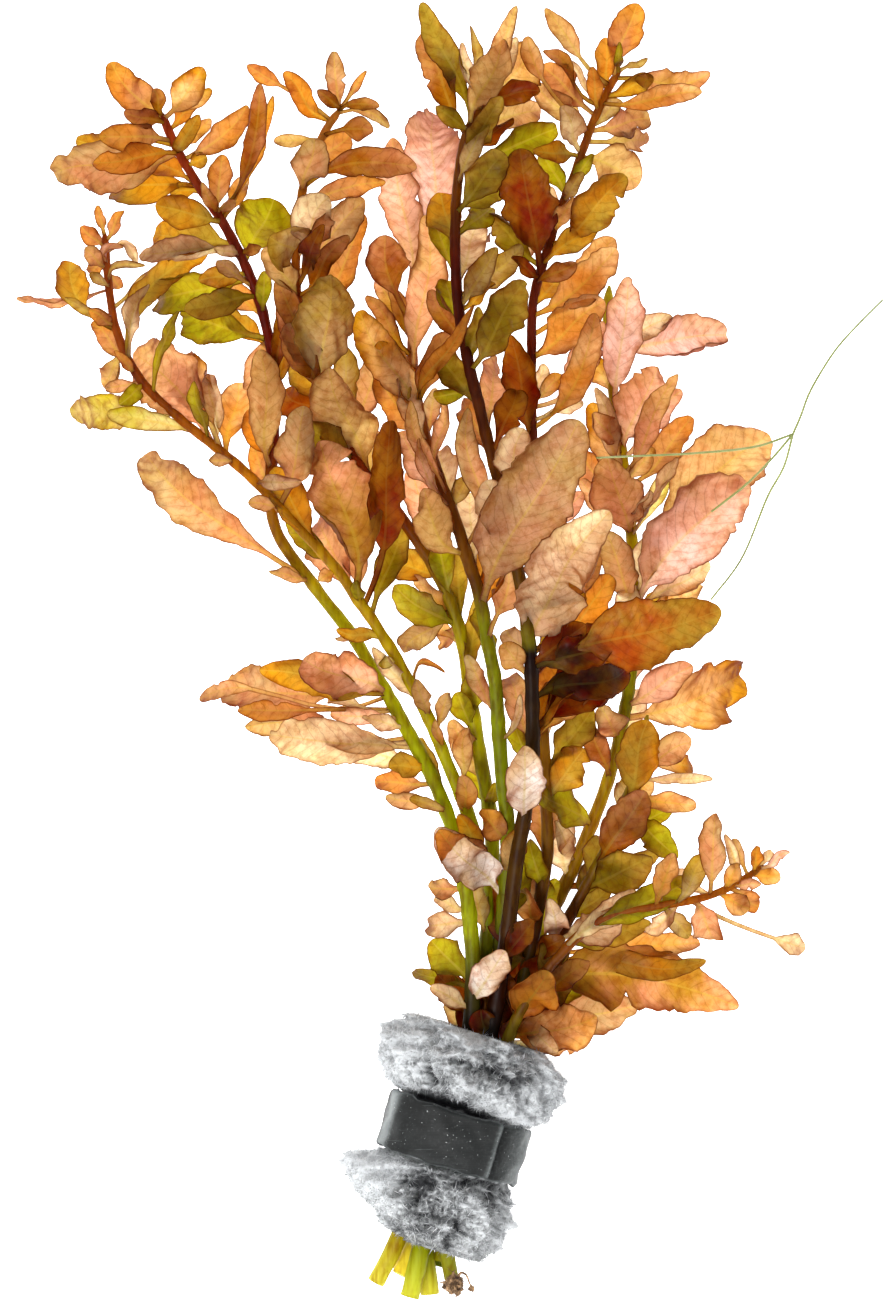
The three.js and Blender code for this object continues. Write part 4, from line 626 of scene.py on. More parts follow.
stems["i"] = {
    "cut": 1.5, "tip": 0.65,
    "colours": [
        (0, "96961c"), (34, "6a3c04"), (45, "924a00"), (53, "a86204"),
    ],
    "route": [
        [-0.8, -28, 16.5], [-1.6, -20, 17.9], [4.4, 0, 17.9], [10.9, 21, 17.9], [15, 29, 20],
        [20, 36, 23], [26, 42, 25.5], [33, 45.5, 27], [40, 46.8, 28], [47, 48, 28.5], [53, 49.8, 28.5],
        [58, 52.5, 28], [61.5, 55, 27.5],
    ],
    "leaves": [
        [49, 52, 65.5, 4, 5.6, "mauve"], [52, 53.8, 61.3, 3, 2.2, "cream"],
        [52.8, 55.6, 60.3, -3, 2.2, "mauve"], [53.6, 60.2, 59, 2, 3, "ember"],
        [54.3, 63.2, 57.9, -3, 2.2, "blush"], [54.5, 66.8, 57.7, 2, 2.2, "petal"],
        [53, 65, 53, -2, 3.8, "orange"], [50.5, 60.8, 46.8, -5, 5, "rust"],
        [51, 61, 51.3, 4, 2.4, "pink"], [49, 42, 53.8, -4, 4.6, "cream"],
        [48.2, 51.6, 40.2, -6, 6, "salmon"], [47.5, 38, 42.3, -4, 3.6, "blush", 0, 1],
        [48, 70.2, 38.2, -12, 4.4, "blush", 0, -0.8, 0.66, 0.2, 1.3], [23, 18.7, 33.8, 5, 9, "ember"],
        [41, 47.5, 52.5, 3, 6, "green"], [38, 36, 50, 4, 5, "cream"], [50, 56.5, 55.5, 2, 3.2, "orange"],
        [22, 14.6, 31.5, -6, 6, "orange"], [30, 21.5, 40, -8, 6, "moss"],
        [47.4, 50.8, 57.2, 2, 4.2, "taupe"], [46.8, 45, 50.5, -2, 3.4, "cream"],
        [27, 27, 35.5, -3, 5, "brown"], [46.8, 43.5, 57.5, 1, 4.6, "orange"],
        [49.5, 58.8, 46.3, -3, 4.6, "orange"], [47, 46.8, 40.8, -2, 4, "taupe"],
    ],
}


# Leaves

leafLook = {
    "throughShare": 0.78,  # light let through rather than thrown back
    "opaque": 0.4,  # what grey leaves, lit from above, let through less
    "roughness": 0.33,
    "turning": (0.58, 0.92),  # where the first tint starts and ends to run into the second
    "golden": ((0.66, 0.9), 0.6, "c09828"),  # clouds of gold: where, how much and what
    "green": (0.38, "bcae20"),  # how far the base and the midrib turn yellow-green, and what that is
    "tinge": 0.6,  # how far gold, green and midrib go towards their colours
    "veinStep": 2.6,  # mm between side veins along the midrib
    "veinLean": 0.75,  # how far a side vein runs forward for each mm outwards
    "veinCurve": 0.09,  # and how far it curves on, for each mm squared
    "veinWarp": 2.6,  # mm that it strays
    "veinShow": 0.55,
    "veinDark": (0.62, "8c5a20"),
    "netSize": 1.2,  # meshes of the net of fine veins per mm
    "netShow": 0.17,
    "between": (0.1, "c08a54"),  # painted shade: the darker stripe beside a side vein, where the puckered blade would fall in shade
    "speck": (0.5, "6a3412"),
    "midrib": ((0.18, 0.45), "ccb440"),  # how much it shows on a dark leaf, and more on a light one
}
# Marks on a blade, each laid where a value runs from the first number to the second: how much of it shows,
# and what the colour is multiplied by.
leafMarks = {
    "half": (0.0, 0.8, 0.3, "cc9c6c"),  # the half that leans away from the light
    "patch": (0.54, 0.72, 0.55, "cc8c58"),
    "mottle": (0.5, 0.3, 0.28, "d49c6c"),
    "grain": (0.44, 0.62, 0.46, "cc9050"),
    "rim": (0.3, 0.06, 0.6, "a06c2c"),  # mm from the edge
    "broadRim": (1.15, 1.45, 0.5, "c08040"),
    "tiltShade": (0.88, 0.2, 0.85, "a86428"),  # painted shade by how level it lies: on edge, light passes through more of it, so it is darkened
}
# Clouds on a blade: mm that each is moved along and across, how many there are per mm, detail and roughness.
leafClouds = {
    "turning": (0, 0, 0.09, 4.0, 0.6),
    "patch": (91, 37, 0.234, 5.0, 0.62),
    "mottle": (17, 53, 0.117, 3.0, 0.6),
    "golden": (133, 11, 0.135, 3.0, 0.6),
    "grain": (5, 71, 0.6, 4.0, 0.75),
    "warp": (0, 0, 0.25, 2.0, 0.55),
    "speck": (0, 0, 1.5, 2.0, 0.7),
    "lot": (0, 0, 0.012, 0.0, 0.55),  # so wide that a leaf has one value
}


# A blade's colour: one tint running into another, then gold and green laid over it, then each dark mark as
# the colour times a darker one, by the share of it that shows.
def leafMaterial():
    material, tree = newMaterial("leafBlade")
    blade, tone, place = (node(tree, "UVMap", uv_map=name).outputs[0] for name in ("blade", "tone", "place"))
    along, acrossBlade, _ = node(tree, "SeparateXYZ", {0: blade}).outputs  # shares of the length and the width
    firstTint, secondTint, _ = node(tree, "SeparateXYZ", {0: tone}).outputs  # places in the row of tints
    mmAlong, mmAcross, _ = node(tree, "SeparateXYZ", {0: place}).outputs  # moved on for each leaf

    # the tint at a position in the row of tints, which runs from 0 to 1
    def tintAt(position):
        ramp = node(tree, "ValToRGB", {0: position})
        ramp.color_ramp.interpolation = "CONSTANT"
        stops = ramp.color_ramp.elements
        while len(stops) < len(tintNames):
            stops.new(1.0)
        for i, name in enumerate(tintNames):
            stops[i].position = i / len(tintNames)
            stops[i].color = linear(leafTints[name][0])
        return ramp.outputs[0]

    # noise at the blade's place, moved on and scaled as leafClouds says
    def cloud(name):
        x, y, scale, detail, roughness = leafClouds[name]
        moved = node(tree, "VectorMath", {0: place, 1: (x, y, 0.0)}, operation="ADD").outputs[0]
        return noise(tree, moved, scale, detail, roughness)

    # colour (1 - share) + share (colour (1 - tinge) + other tinge)
    def tinged(colour, share, hexColour):
        return blended(tree, share, colour, blended(tree, leafLook["tinge"], colour, linear(hexColour)))

    # colour (1 - share) + share colour other
    def darkened(colour, share, hexColour):
        return blended(tree, share, colour, multiplied(tree, colour, hexColour))

    # darkened by a mark, as far as the value is on its way from the mark's low to its high
    def marked(colour, name, value):
        low, high, share, hexColour = leafMarks[name]
        return darkened(colour, times(tree, ramped(tree, value, low, high), share), hexColour)

    across = maths(tree, "ABSOLUTE", timesPlus(tree, acrossBlade, 2.0, -1.0))  # 0 on the midrib, 1 at the edge
    away = maths(tree, "ABSOLUTE", mmAcross)  # mm from the midrib
    toEdge = maths(tree, "SUBTRACT", maths(tree, "DIVIDE", away, maths(tree, "MAXIMUM", across, 0.05)), away)
    patch, mottle = cloud("patch"), cloud("mottle")
    first, second = tintAt(firstTint), tintAt(secondTint)
    turning = timesPlus(tree, along, 0.3, timesPlus(tree, across, 0.1, cloud("turning")))
    colour = blended(tree, ramped(tree, turning, *leafLook["turning"]), first, second)
    where, share, gold = leafLook["golden"]
    golden = timesPlus(tree, along, 0.18, timesPlus(tree, across, 0.2, cloud("golden")))
    colour = tinged(colour, times(tree, ramped(tree, golden, *where), share), gold)

    # the base and the midrib's sides run into yellow-green
    nearRib, nearBase = ramped(tree, away, 2.2, 0.2), ramped(tree, along, 0.55, 0.12)
    greener = timesPlus(tree, nearBase, 0.6, times(tree, nearRib, 0.45))
    uneven = times(tree, ramped(tree, mottle, 0.35, 0.6), leafLook["green"][0])
    colour = tinged(colour, times(tree, greener, uneven), leafLook["green"][1])

    # one half of the blade leans away from the light: which, and how much, differs from leaf to leaf
    lot = timesPlus(tree, cloud("lot"), 6.0, -3.0)
    half = timesPlus(tree, ramped(tree, acrossBlade, 0.46, 0.54), 2.0, -1.0)
    colour = marked(colour, "half", times(tree, lot, half))

    # side veins: evenly spaced lines that lean forward and curve on, a little warped
    slant = timesPlus(tree, away, -leafLook["veinLean"], mmAlong)
    slant = timesPlus(tree, times(tree, away, away), -leafLook["veinCurve"], slant)
    slant = timesPlus(tree, cloud("warp"), leafLook["veinWarp"], slant)
    turn = maths(tree, "FRACT", maths(tree, "DIVIDE", slant, leafLook["veinStep"]))
    gap = maths(tree, "ABSOLUTE", maths(tree, "SUBTRACT", turn, 0.5))
    crest = timesPlus(tree, gap, -2.0, 1.0)  # 1 on a vein, 0 midway between two
    sideVein = times(tree, ramped(tree, crest, 0.84, 0.98), ramped(tree, across, 1.0, 0.7))
    net = node(tree, "TexVoronoi", {"Vector": place, "Scale": leafLook["netSize"]}, feature="DISTANCE_TO_EDGE",
               voronoi_dimensions="2D").outputs[0]
    netLine = ramped(tree, net, 0.09, 0.0)
    show, dark = leafLook["veinDark"]
    veinColour = blended(tree, show, colour, multiplied(tree, colour, dark))
    # painted shade: a darker stripe beside each side vein, for the shade of the pucker
    between = times(tree, ramped(tree, crest, 0.25, 1.0), ramped(tree, across, 1.0, 0.55))
    colour = darkened(colour, times(tree, between, leafLook["between"][0]), leafLook["between"][1])
    colour = blended(tree, times(tree, netLine, leafLook["netShow"]), colour, veinColour)
    colour = blended(tree, times(tree, sideVein, leafLook["veinShow"]), colour, veinColour)

    # stains and rims, then the midrib over them
    colour = marked(colour, "patch", patch)
    colour = marked(colour, "mottle", mottle)
    colour = marked(colour, "grain", cloud("grain"))
    colour = marked(colour, "rim", toEdge)
    colour = marked(colour, "broadRim", timesPlus(tree, patch, 0.9, across))
    speck = ramped(tree, cloud("speck"), 0.68, 0.75)
    colour = blended(tree, times(tree, speck, leafLook["speck"][0]), colour, linear(leafLook["speck"][1]))
    (least, more), ribColour = leafLook["midrib"]
    light = ramped(tree, node(tree, "RGBToBW", {0: first}).outputs[0], 0.05, 0.3)
    ribWidth = timesPlus(tree, along, -0.32, 0.46)
    midrib = ramped(tree, maths(tree, "DIVIDE", away, ribWidth), 1.0, 0.45)
    colour = tinged(colour, times(tree, midrib, timesPlus(tree, light, more, least)), ribColour)
    # painted shade: where the blade stands on edge to the table below, it is darkened as if the light came
    # through more of it
    facing = node(tree, "SeparateXYZ", {0: node(tree, "NewGeometry").outputs["Normal"]}).outputs[2]
    colour = marked(colour, "tiltShade", maths(tree, "ABSOLUTE", facing))

    height = timesPlus(tree, sideVein, -0.5, times(tree, netLine, -0.25))
    normal = bumped(tree, timesPlus(tree, patch, 0.6, height), 0.5, 0.0002)
    grey = maths(tree, "COMPARE", firstTint, (tintNames.index("grey") + 0.5) / len(tintNames), 0.01)
    share = timesPlus(tree, grey, -leafLook["opaque"], leafLook["throughShare"])
    finishMaterial(tree, {"Base Color": colour, "Roughness": leafLook["roughness"], "Specular IOR Level": 0.22,
                          "Normal": normal}, share)
    return material


# The shape of a leaf. Pairs are a mean and a spread, or the least and the most, of what each leaf draws;
# "twist" and "roll" are degrees on a small leaf and on a large one, and sizes are mm.
leafShape = {
    "wider": 1.04,  # drawn width for each mm in the table
    "torn": 0.25,  # notches to be expected on each edge
    "largeFrom": 6,  # mm wide
    "stalkRows": 0.14,
    "wander": 0.025,  # shares of the length
    "hump": (0.07, 0.05),
    "humpLimits": (-0.02, 0.18),
    "sway": 0.04,
    "twist": (42, 24),
    "roll": (14, 9),
    "skew": (0.95, 1.3),
    "baseTaper": (0.75, 1.15),
    "tipTaper": (0.4, 0.56),
    "stalkHalf": (0.3, 0.03),  # half a stalk's width, and what each mm of the blade's adds
    "ripples": (0.055, 0.035, 0.014),  # slow, middling and fine, as shares of the width
    "rippleSizes": (6.0, 3.2),  # of the last two
    "notchAt": (0.3, 0.97),
    "notchReach": (0.015, 0.06),
    "notchDepth": (0.2, 0.6),
    "fold": (0.02, 0.4),  # radians
    "curl": (0.5, 0.8),
    "curlLimits": (-1.0, 2.3),
    "waves": (1.0, 2.8),  # along each edge
    "swing": (0.13, 0.44),
    "regrow": 1.3,  # how far a folded half may be drawn out to its flat width
    "pucker": (0.15, 0.22),  # on a narrow leaf and on one over 9 mm wide
    "puckerSize": 4.5,
    "blade": (0.05, 0.08),  # half the thickness at the edge, and what the middle adds
    "rib": (0.18, 0.012),  # how far the midrib stands out, and what each mm of width adds
    "ribHalf": 0.45,
}


# A blade's half width along it as a share of its widest: sin(pi * u ^ skew) ^ power. A skew over 1 puts the
# widest place past the middle. The power falls from baseTaper, a long wedge, to tipTaper, a round tip.
def bladeWidth(u, skew, baseTaper, tipTaper):
    return np.clip(np.sin(np.pi * u**skew), 0, 1) ** (baseTaper + (tipTaper - baseTaper) * u)


# A midrib: base + (tip - base) u, moved aside by sweep times the arch 4 u (1 - u) and up by a hump of the
# same arch, with a sine wave of its own in each direction.
def leafMidrib(base, tip, u, sweep, rng):
    along = tip - base
    length = np.linalg.norm(along)
    arch, wave = 4 * u * (1 - u), np.sin(2 * np.pi * u)
    flat = unit(along * [1, 1, 0])
    aside = np.array([-flat[1], flat[0], 0.0])
    rise = np.cross(unit(np.cross(along, up)), unit(along))
    wander = rng.normal(0, leafShape["wander"])
    hump = np.clip(rng.normal(*leafShape["hump"]), *leafShape["humpLimits"])
    sway = rng.normal(0, leafShape["sway"])
    sideways = arch * sweep + wave * wander * length
    upwards = (arch * hump + wave * sway) * length
    return base + along * u[:, None] + aside * sideways[:, None] + rise * upwards[:, None]


# How far a leaf reaches to each side of its midrib: bladeWidth, or a stalk that thins out where that is more,
# times 1 + slow, middling and fine ripples, times 1 - a bell for each notch.
def leafEdges(u, blade, length, width, torn, skew, rng):
    skew = skew or rng.uniform(*leafShape["skew"])
    tapers = [rng.uniform(*leafShape[key]) for key in ("baseTaper", "tipTaper")]
    plain = leafShape["wider"] * width / 2 * bladeWidth(blade, skew, *tapers)
    stalkHalf = leafShape["stalkHalf"][0] + leafShape["stalkHalf"][1] * width
    plain = np.maximum(plain, stalkHalf * (1 - blade) + 0.03)
    mm = u[:, None] * length
    edges = []
    for _ in range(2):
        slow = ripple(mm, max(9.0, length / 2.2), rng.integers(1e9), 5)
        seed = rng.integers(1e9)
        ripples = np.array([slow, *(ripple(mm, size, seed, 6) for size in leafShape["rippleSizes"])])
        edge = plain * (1 + leafShape["ripples"] @ ripples * (blade > 0))
        for _ in range(rng.poisson(torn)):
            middle, reach = rng.uniform(*leafShape["notchAt"]), rng.uniform(*leafShape["notchReach"])
            edge = edge * (1 - rng.uniform(*leafShape["notchDepth"]) * bell((blade, middle, reach)))
        edges.append(np.maximum(edge, 0.04))
    return edges


# How steeply each half of a blade leans up, from its fold at the midrib to its curled edge, and how high its
# edge waves; q is the place across, from -1 to 1, and half is the reach to that side.
def leafBend(u, q, half, rng):
    fold = rng.uniform(*leafShape["fold"])
    lean, wave = np.zeros_like(half), np.zeros_like(half)
    for side in (-1, 1):
        waves = rng.uniform(*leafShape["waves"])
        curl = np.clip(rng.normal(*leafShape["curl"]), *leafShape["curlLimits"])
        curl = curl * (0.55 + 0.45 * np.sin(2 * np.pi * (0.8 * u + rng.uniform())))
        swing = np.sin(2 * np.pi * (waves * u + rng.uniform())) * rng.uniform(*leafShape["swing"])
        outer = np.clip((np.abs(q) - 0.35) / 0.65, 0, 1) ** 1.3
        ours = q * side > 0
        lean += np.where(ours, fold + curl[:, None] * outer, 0)
        wave += np.where(ours, np.abs(q) ** 2.2 * half * swing[:, None], 0)
    return lean, wave


# Walks out from the midrib along the leaning blade: how far aside and how far up each place across comes, as
# the sums of step cos(lean) and step sin(lean). Each half is then drawn out towards its flat width.
def walkOut(q, half, lean):
    aside, high = np.zeros_like(half), np.zeros_like(half)
    centre = len(q) // 2
    for sign in (-1, 1):
        walk = slice(centre, None, sign)
        flat, leans = half[:, walk], lean[:, walk]
        step = np.abs(np.diff(q[walk])) * np.maximum(flat[:, 1:], flat[:, :-1])
        leans = (leans[:, 1:] + leans[:, :-1]) / 2
        out = np.cumsum(step * np.cos(leans), 1)
        grow = flat.max(1) / np.maximum(np.abs(out).max(1), 1e-6)
        grow = np.clip(grow, 1, leafShape["regrow"])[:, None]
        aside[:, walk][:, 1:] = sign * out * grow
        high[:, walk][:, 1:] = np.cumsum(step * np.sin(leans), 1) * grow
    return aside, high


# A leaf: a flat closed ring carried along its midrib, a stalk and then a blade as wide as leafEdges says. Its
# top runs out one way and its underside back, leaning and waving as leafBend says, with a midrib standing
# out below. It is rolled about the midrib, and twists on the way.
def leafSurface(base, tip, width, tint, roll, sweep, stalk, torn, skew, rng, rows, across):
    length = np.linalg.norm(tip - base)
    stalkRows = max(3, int(rows * leafShape["stalkRows"]))
    bladeRows = rows - stalkRows
    bladeShare = np.sin(np.pi / 2 * (np.arange(bladeRows) + 1) / bladeRows)
    u = np.r_[stalk * np.arange(stalkRows) / stalkRows, stalk + (1 - stalk) * bladeShare]
    line = leafMidrib(base, tip, u, sweep, rng)
    heading, level, steep = lineFrames(line)
    large = int(width >= leafShape["largeFrom"])
    twist = rng.normal(0, leafShape["twist"][large])
    turn = np.radians(roll + rng.normal(0, leafShape["roll"][large]) + (u - 0.45) * twist)[:, None]
    side = level * np.cos(turn) + steep * np.sin(turn)
    above = np.cross(side, heading)

    blade = np.clip((u - stalk) / (1 - stalk), 0, 1)
    edges = leafEdges(u, blade, length, width, torn, skew, rng)
    q = np.linspace(-1, 1, across)
    q = np.sign(q) * np.abs(q) ** 0.8
    half = np.where(q < 0, edges[0][:, None], edges[1][:, None])
    lean, wave = leafBend(u, q, half, rng)
    aside, high = walkOut(q, half, lean)
    spread = np.stack([np.broadcast_to(u[:, None] * length, half.shape), q * half], -1)
    pucker = ripple(spread, leafShape["puckerSize"], rng.integers(1e9), 10) * (1 - np.exp(-np.abs(aside) / 1.5))
    high = high + wave + leafShape["pucker"][width > 9] * pucker

    thick = leafShape["blade"][0] + leafShape["blade"][1] * (1 - q**2)
    rib = (leafShape["rib"][0] + leafShape["rib"][1] * width) * (1.2 - u[:, None])
    rib = rib * bell((aside, 0, leafShape["ribHalf"]))
    middle = line[:, None] + side[:, None] * aside[..., None] + above[:, None] * high[..., None]
    inwards = (np.sign(q) * np.sin(lean))[..., None]
    outOfBlade = above[:, None] * np.cos(lean)[..., None] - side[:, None] * inwards
    top = middle + outOfBlade * (thick + 0.25 * rib)[..., None]
    under = middle - outOfBlade * (thick + rib)[..., None]
    ringed = lambda row: np.concatenate([row, row[:, -2:0:-1]], 1)  # out over the top, back underneath
    points = np.concatenate([top, under[:, -2:0:-1]], 1).reshape(-1, 3)
    points[:, 2] = np.maximum(points[:, 2], 0.05)
    shares = np.broadcast_to(q / 2 + 0.5, half.shape)
    moved = [rng.uniform(0, 900), 0]
    tones = [(tintNames.index(name) + 0.5) / len(tintNames) for name in (tint, leafTints[tint][1])]
    return {
        "points": points,
        "faces": outward(points, ringFaces(rows, 2 * across - 2)),
        "blade": ringed(np.stack([np.broadcast_to(u[:, None], half.shape), shares], -1)).reshape(-1, 2),
        "tone": np.tile(tones, (len(points), 1)),
        "place": ringed(spread).reshape(-1, 2) + moved,
    }


# The CAD's points, as places in the tables: each node's own, and which leaf or stem node they are in.
def cadPoints():
    places, owners = [], []
    for name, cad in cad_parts.items():
        if name.startswith(("leaf_", "stem_")):
            points = np.empty(len(cad.data.vertices) * 3)
            cad.data.vertices.foreach_get("co", points)
            places.append(points.reshape(-1, 3) * 1000 + outlineMiddle)
            owners += [name] * len(places[-1])
    return np.vstack(places), owners


# Every row of the table as a leaf. One whose tip is at a tip of the CAD's takes its height from there. Those
# with a node of their own replace it, and the others on a stem are one piece.
def growLeaves(material):
    places, owners = cadPoints()
    usual = [0, 0, 0.14, leafShape["torn"], None]  # roll, sweep, stalk, torn and skew
    for name, stem in stems.items():
        line = smoothLine(stem["route"])
        small = []
        for number, row in enumerate(stem["leaves"]):
            height, x, y, rise, width, tint, *bearing, torn, skew = list(row) + usual[len(row) - 6 :]
            rng = np.random.default_rng([ord(name), number, 7])
            base = line[int(np.argmax(line[:, 1] >= height))].copy()
            gaps = np.hypot(*(places[:, :2] - [x, y]).T)
            nearest = int(np.argmin(gaps))
            owner = owners[nearest]
            found = gaps[nearest] < 0.08 and owner[5] == name
            tip = np.array([x, y, places[nearest, 2] if found else base[2] + (rise or 0)])
            if found and owner.startswith("leaf_"):
                surface = leafSurface(base, tip, width, tint, *bearing, torn, skew, rng, 54, 23)
                makePiece("leaf" + owner[5:].upper(), surface, material, [owner])
            else:
                rows = int(np.clip(np.linalg.norm(tip - base) * 1.6, 16, 38))
                small.append(leafSurface(base, tip, width, tint, *bearing, torn * 0.6, skew, rng, rows, 13))
        makePiece(f"stem{name.upper()}Leaves", joined(small), material)
    print("leaves:", sum(len(stem["leaves"]) for stem in stems.values()))


# Stems

stemLook = {
    "sides": 16,
    "step": 0.8,  # mm between rings
    "stray": 0.05,  # mm that a stem strays from its route
    "uneven": 0.018,  # of its thickness
    "nodeSwell": 0.1,
    "nodeReach": 1.1,
    "nodePaler": 0.25,
    "nodeStep": 3,  # mm to which the heights of joints are rounded
    "streaks": (0.35, 0.75, "c09a70"),  # where they start and are full, and what the skin is multiplied by
    "patches": (0.55, 0.75, "a06a50"),
    "patchShow": 0.5,
    "roughness": 0.45,
    "throughShare": 0.5,
}


# A stem's skin: the colour that its points carry, times darker ones in long streaks and in patches.
def stemMaterial():
    material, tree = newMaterial("stemSkin")
    base = carried(tree, "skin", 0)
    place = objectPlace(tree)
    stretched = node(tree, "Mapping", {"Vector": place, "Scale": (900.0, 120.0, 900.0)}).outputs[0]
    streaks = noise(tree, stretched, 1.0, 4.0)
    low, high, dark = stemLook["streaks"]
    colour = blended(tree, ramped(tree, streaks, low, high), base, multiplied(tree, base, dark))
    low, high, dark = stemLook["patches"]
    patches = times(tree, ramped(tree, noise(tree, place, 160.0, 4.0), low, high), stemLook["patchShow"])
    colour = blended(tree, patches, colour, multiplied(tree, base, dark))
    finishMaterial(tree, {"Base Color": colour, "Roughness": stemLook["roughness"], "Specular IOR Level": 0.14,
                          "Normal": bumped(tree, streaks, 0.4, 0.0002)}, stemLook["throughShare"])
    return material


# A stem: a round bar along its route that thins evenly, with a bell-shaped swelling and a paler ring at each
# place where leaves grow. Its skin is mixed between the colours listed at heights up the bunch.
def makeStems(material):
    for name, stem in stems.items():
        line = smoothLine(stem["route"])
        rows = int(np.linalg.norm(np.diff(line, axis=0), axis=1).sum() / stemLook["step"])
        path = evenly(line, rows)
        path += stemLook["stray"] * np.stack([ripple(path, 14.0, ord(name) + k, 8) for k in range(3)], -1)
        joints = np.array([row[0] for row in stem["leaves"]]) / stemLook["nodeStep"]
        joints = np.unique(np.round(joints) * stemLook["nodeStep"])
        swell = bell((path[:, 1:2], joints[None], stemLook["nodeReach"])).max(1)
        radii = stem["cut"] + (stem["tip"] - stem["cut"]) * np.linspace(0, 1, rows)
        radii = radii * (1 + stemLook["nodeSwell"] * swell)
        radii = radii * (1 + stemLook["uneven"] * ripple(path, 7.0, ord(name) + 9, 8))
        radii[-3:] *= [0.8, 0.55, 0.25]  # the growing tip
        bar = roundBar(path, radii, stemLook["sides"])
        heights, colours = zip(*stem["colours"])
        colours = np.array([linear(colour) for colour in colours])
        skin = np.stack([np.interp(path[:, 1], heights, colours[:, i]) for i in range(4)], -1)
        skin[:, :3] *= (1 + stemLook["nodePaler"] * swell)[:, None]
        bar["skin"] = np.repeat(skin, stemLook["sides"], axis=0)
        makePiece(f"stem{name.upper()}", bar, material, [f"stem_{name}"])
    print("stems:", len(stems))


# Wool and lead

collar = {"middle": np.array([0.3, 0.0, 14.0]), "lean": 0.3}
woolLook = {
    "fibresPerPiece": 11000,
    "fibreLength": (0.5, 1.7),
    "fibreRadius": 0.045,
    "rooted": 0.2,  # mm under the surface
    "upper": 0.72,  # share of them on the upper side
    "dull": 0.88,  # share that isn't thick and painted bright as a glint
    "thicker": 1.7,
    # how much brighter a glinting fibre is painted: a painted glint
    "brighter": 0.45,
    "strands": (0.5, 1.12),  # darkest and lightest strand
    "relief": ((10.0, 5, 1.0, 0.04), (3.4, 6, 0.34, 0.1), (1.4, 7, 0.09, 0.1)),  # size, seed, mm out, and how much paler a lump's top is painted: painted light and shade
    "sunk": 0.3,
    "overhang": (1.0, 8.2, 2.0),  # mm that the upper puff leans over the strip, where, and over how much
    "levels": (0.46, 0.49),  # shade of the lower and of the upper puff
    "hollowShade": 0.27,  # darker for each mm of a hollow
    "bed": ("26272a", "dcdfe1", 0.2),  # dark, light, and the share of light let through
    "fibre": ("2e3033", "f0f2f4", 0.4),
    "puffs": {"Lower": (-22.3, -6.4), "Upper": (6.4, 21.5)},  # from where to where along the collar
    "strip": 6.2,  # mm either side of the middle where the strip presses it in
    "bore": 6.8,  # half the width of the way for the stems
    "grid": (400, 176, 24),  # points round, rings outside, rings inside
}
# Along the collar: how far the wool reaches to the left, to the right, and up and down.
woolRings = np.array([
    [-22.4, 2.5, 10, 8], [-21, 8, 13, 11.5], [-19, 11.4, 14.2, 13.4], [-16.5, 15.2, 14.6, 14.2],
    [-13.5, 19.4, 14.6, 14.2], [-10, 19.2, 14.4, 14], [-7.8, 17, 14, 13.2], [-6, 13, 12.6, 10.4],
    [6, 13, 12.6, 10.4], [7.6, 16.6, 14.2, 13.4], [10, 18.6, 16.6, 15.4], [13.5, 20.6, 17.2, 15.8],
    [17, 20.2, 16.2, 15.2], [19.6, 17.6, 13.4, 13.2], [21.6, 14.4, 10.4, 10.5],
], float)
# Hollows in the wool: x and y of the middle, reach along x and y, and depth.
woolHollows = [
    [-5.8, 15, 0.7, 5, 1.7], [0, 16, 3.0, 0.8, 1.0], [7, 14.4, 3.0, 0.8, 1.2], [13, 12.3, 3.4, 1.3, 1.7],
    [-8, 8.7, 2.6, 1.5, 3.8], [-3.5, 7.5, 2.6, 1.8, 4.4], [1, 6.2, 2.6, 1.8, 4.4], [5.5, 4.5, 2.6, 1.3, 3.4],
    [-7, -7.4, 3.4, 1.4, 2.0], [2, -8.6, 4, 0.9, 2.0], [-11.3, -9, 0.8, 3.2, 1.6], [-8, -11, 1.4, 1.8, 1.4],
    [8.2, -11, 0.8, 1.8, 2.4], [1.5, -17, 0.6, 0.6, 2.0], [-12, -17.3, 0.7, 0.9, 1.6],
]
# Painted light and shade on the wool, paler and darker places in it: x and y of the middle, reach along x and
# y, and change of shade.
woolLightAndShade = [
    [-11, 18, 6, 7, 0.32], [2, 20.5, 6, 3, 0.3], [0, 13, 5, 3.5, -0.08], [12, 12.5, 5.5, 2.6, -0.16],
    [11, 5.5, 8, 3.5, 0.36], [-1, 9.5, 4, 1.6, 0.1], [19, 10, 3.5, 5, 0.46], [-17, -6, 5.5, 5, 0.66],
    [-6, -10, 5, 4, -0.2], [4, -11.5, 3, 3, 0.12], [-4, -18, 8, 3.5, -0.24], [9, -19, 4.5, 4.5, 0.3],
    [7, -13, 1.4, 4, -0.2], [-14, -15, 3, 4, 0.2],
]


# The collar's own places, across, along and up from its middle, as places in the tables: turned by its lean.
def fromCollar(points):
    c, s = np.cos(collar["lean"]), np.sin(collar["lean"])
    x, y, z = np.moveaxis(points, -1, 0)
    return np.stack([x * c + y * s, -x * s + y * c, z], -1) + collar["middle"]


# The sum at each place of the bells in a table: x and y of the middle, reach along x and y, and height.
def bells(places, table):
    x, y, _ = np.moveaxis(places, -1, 0)
    return sum(row[4] * bell((x, row[0], row[2]), (y, row[1], row[3])) for row in table)


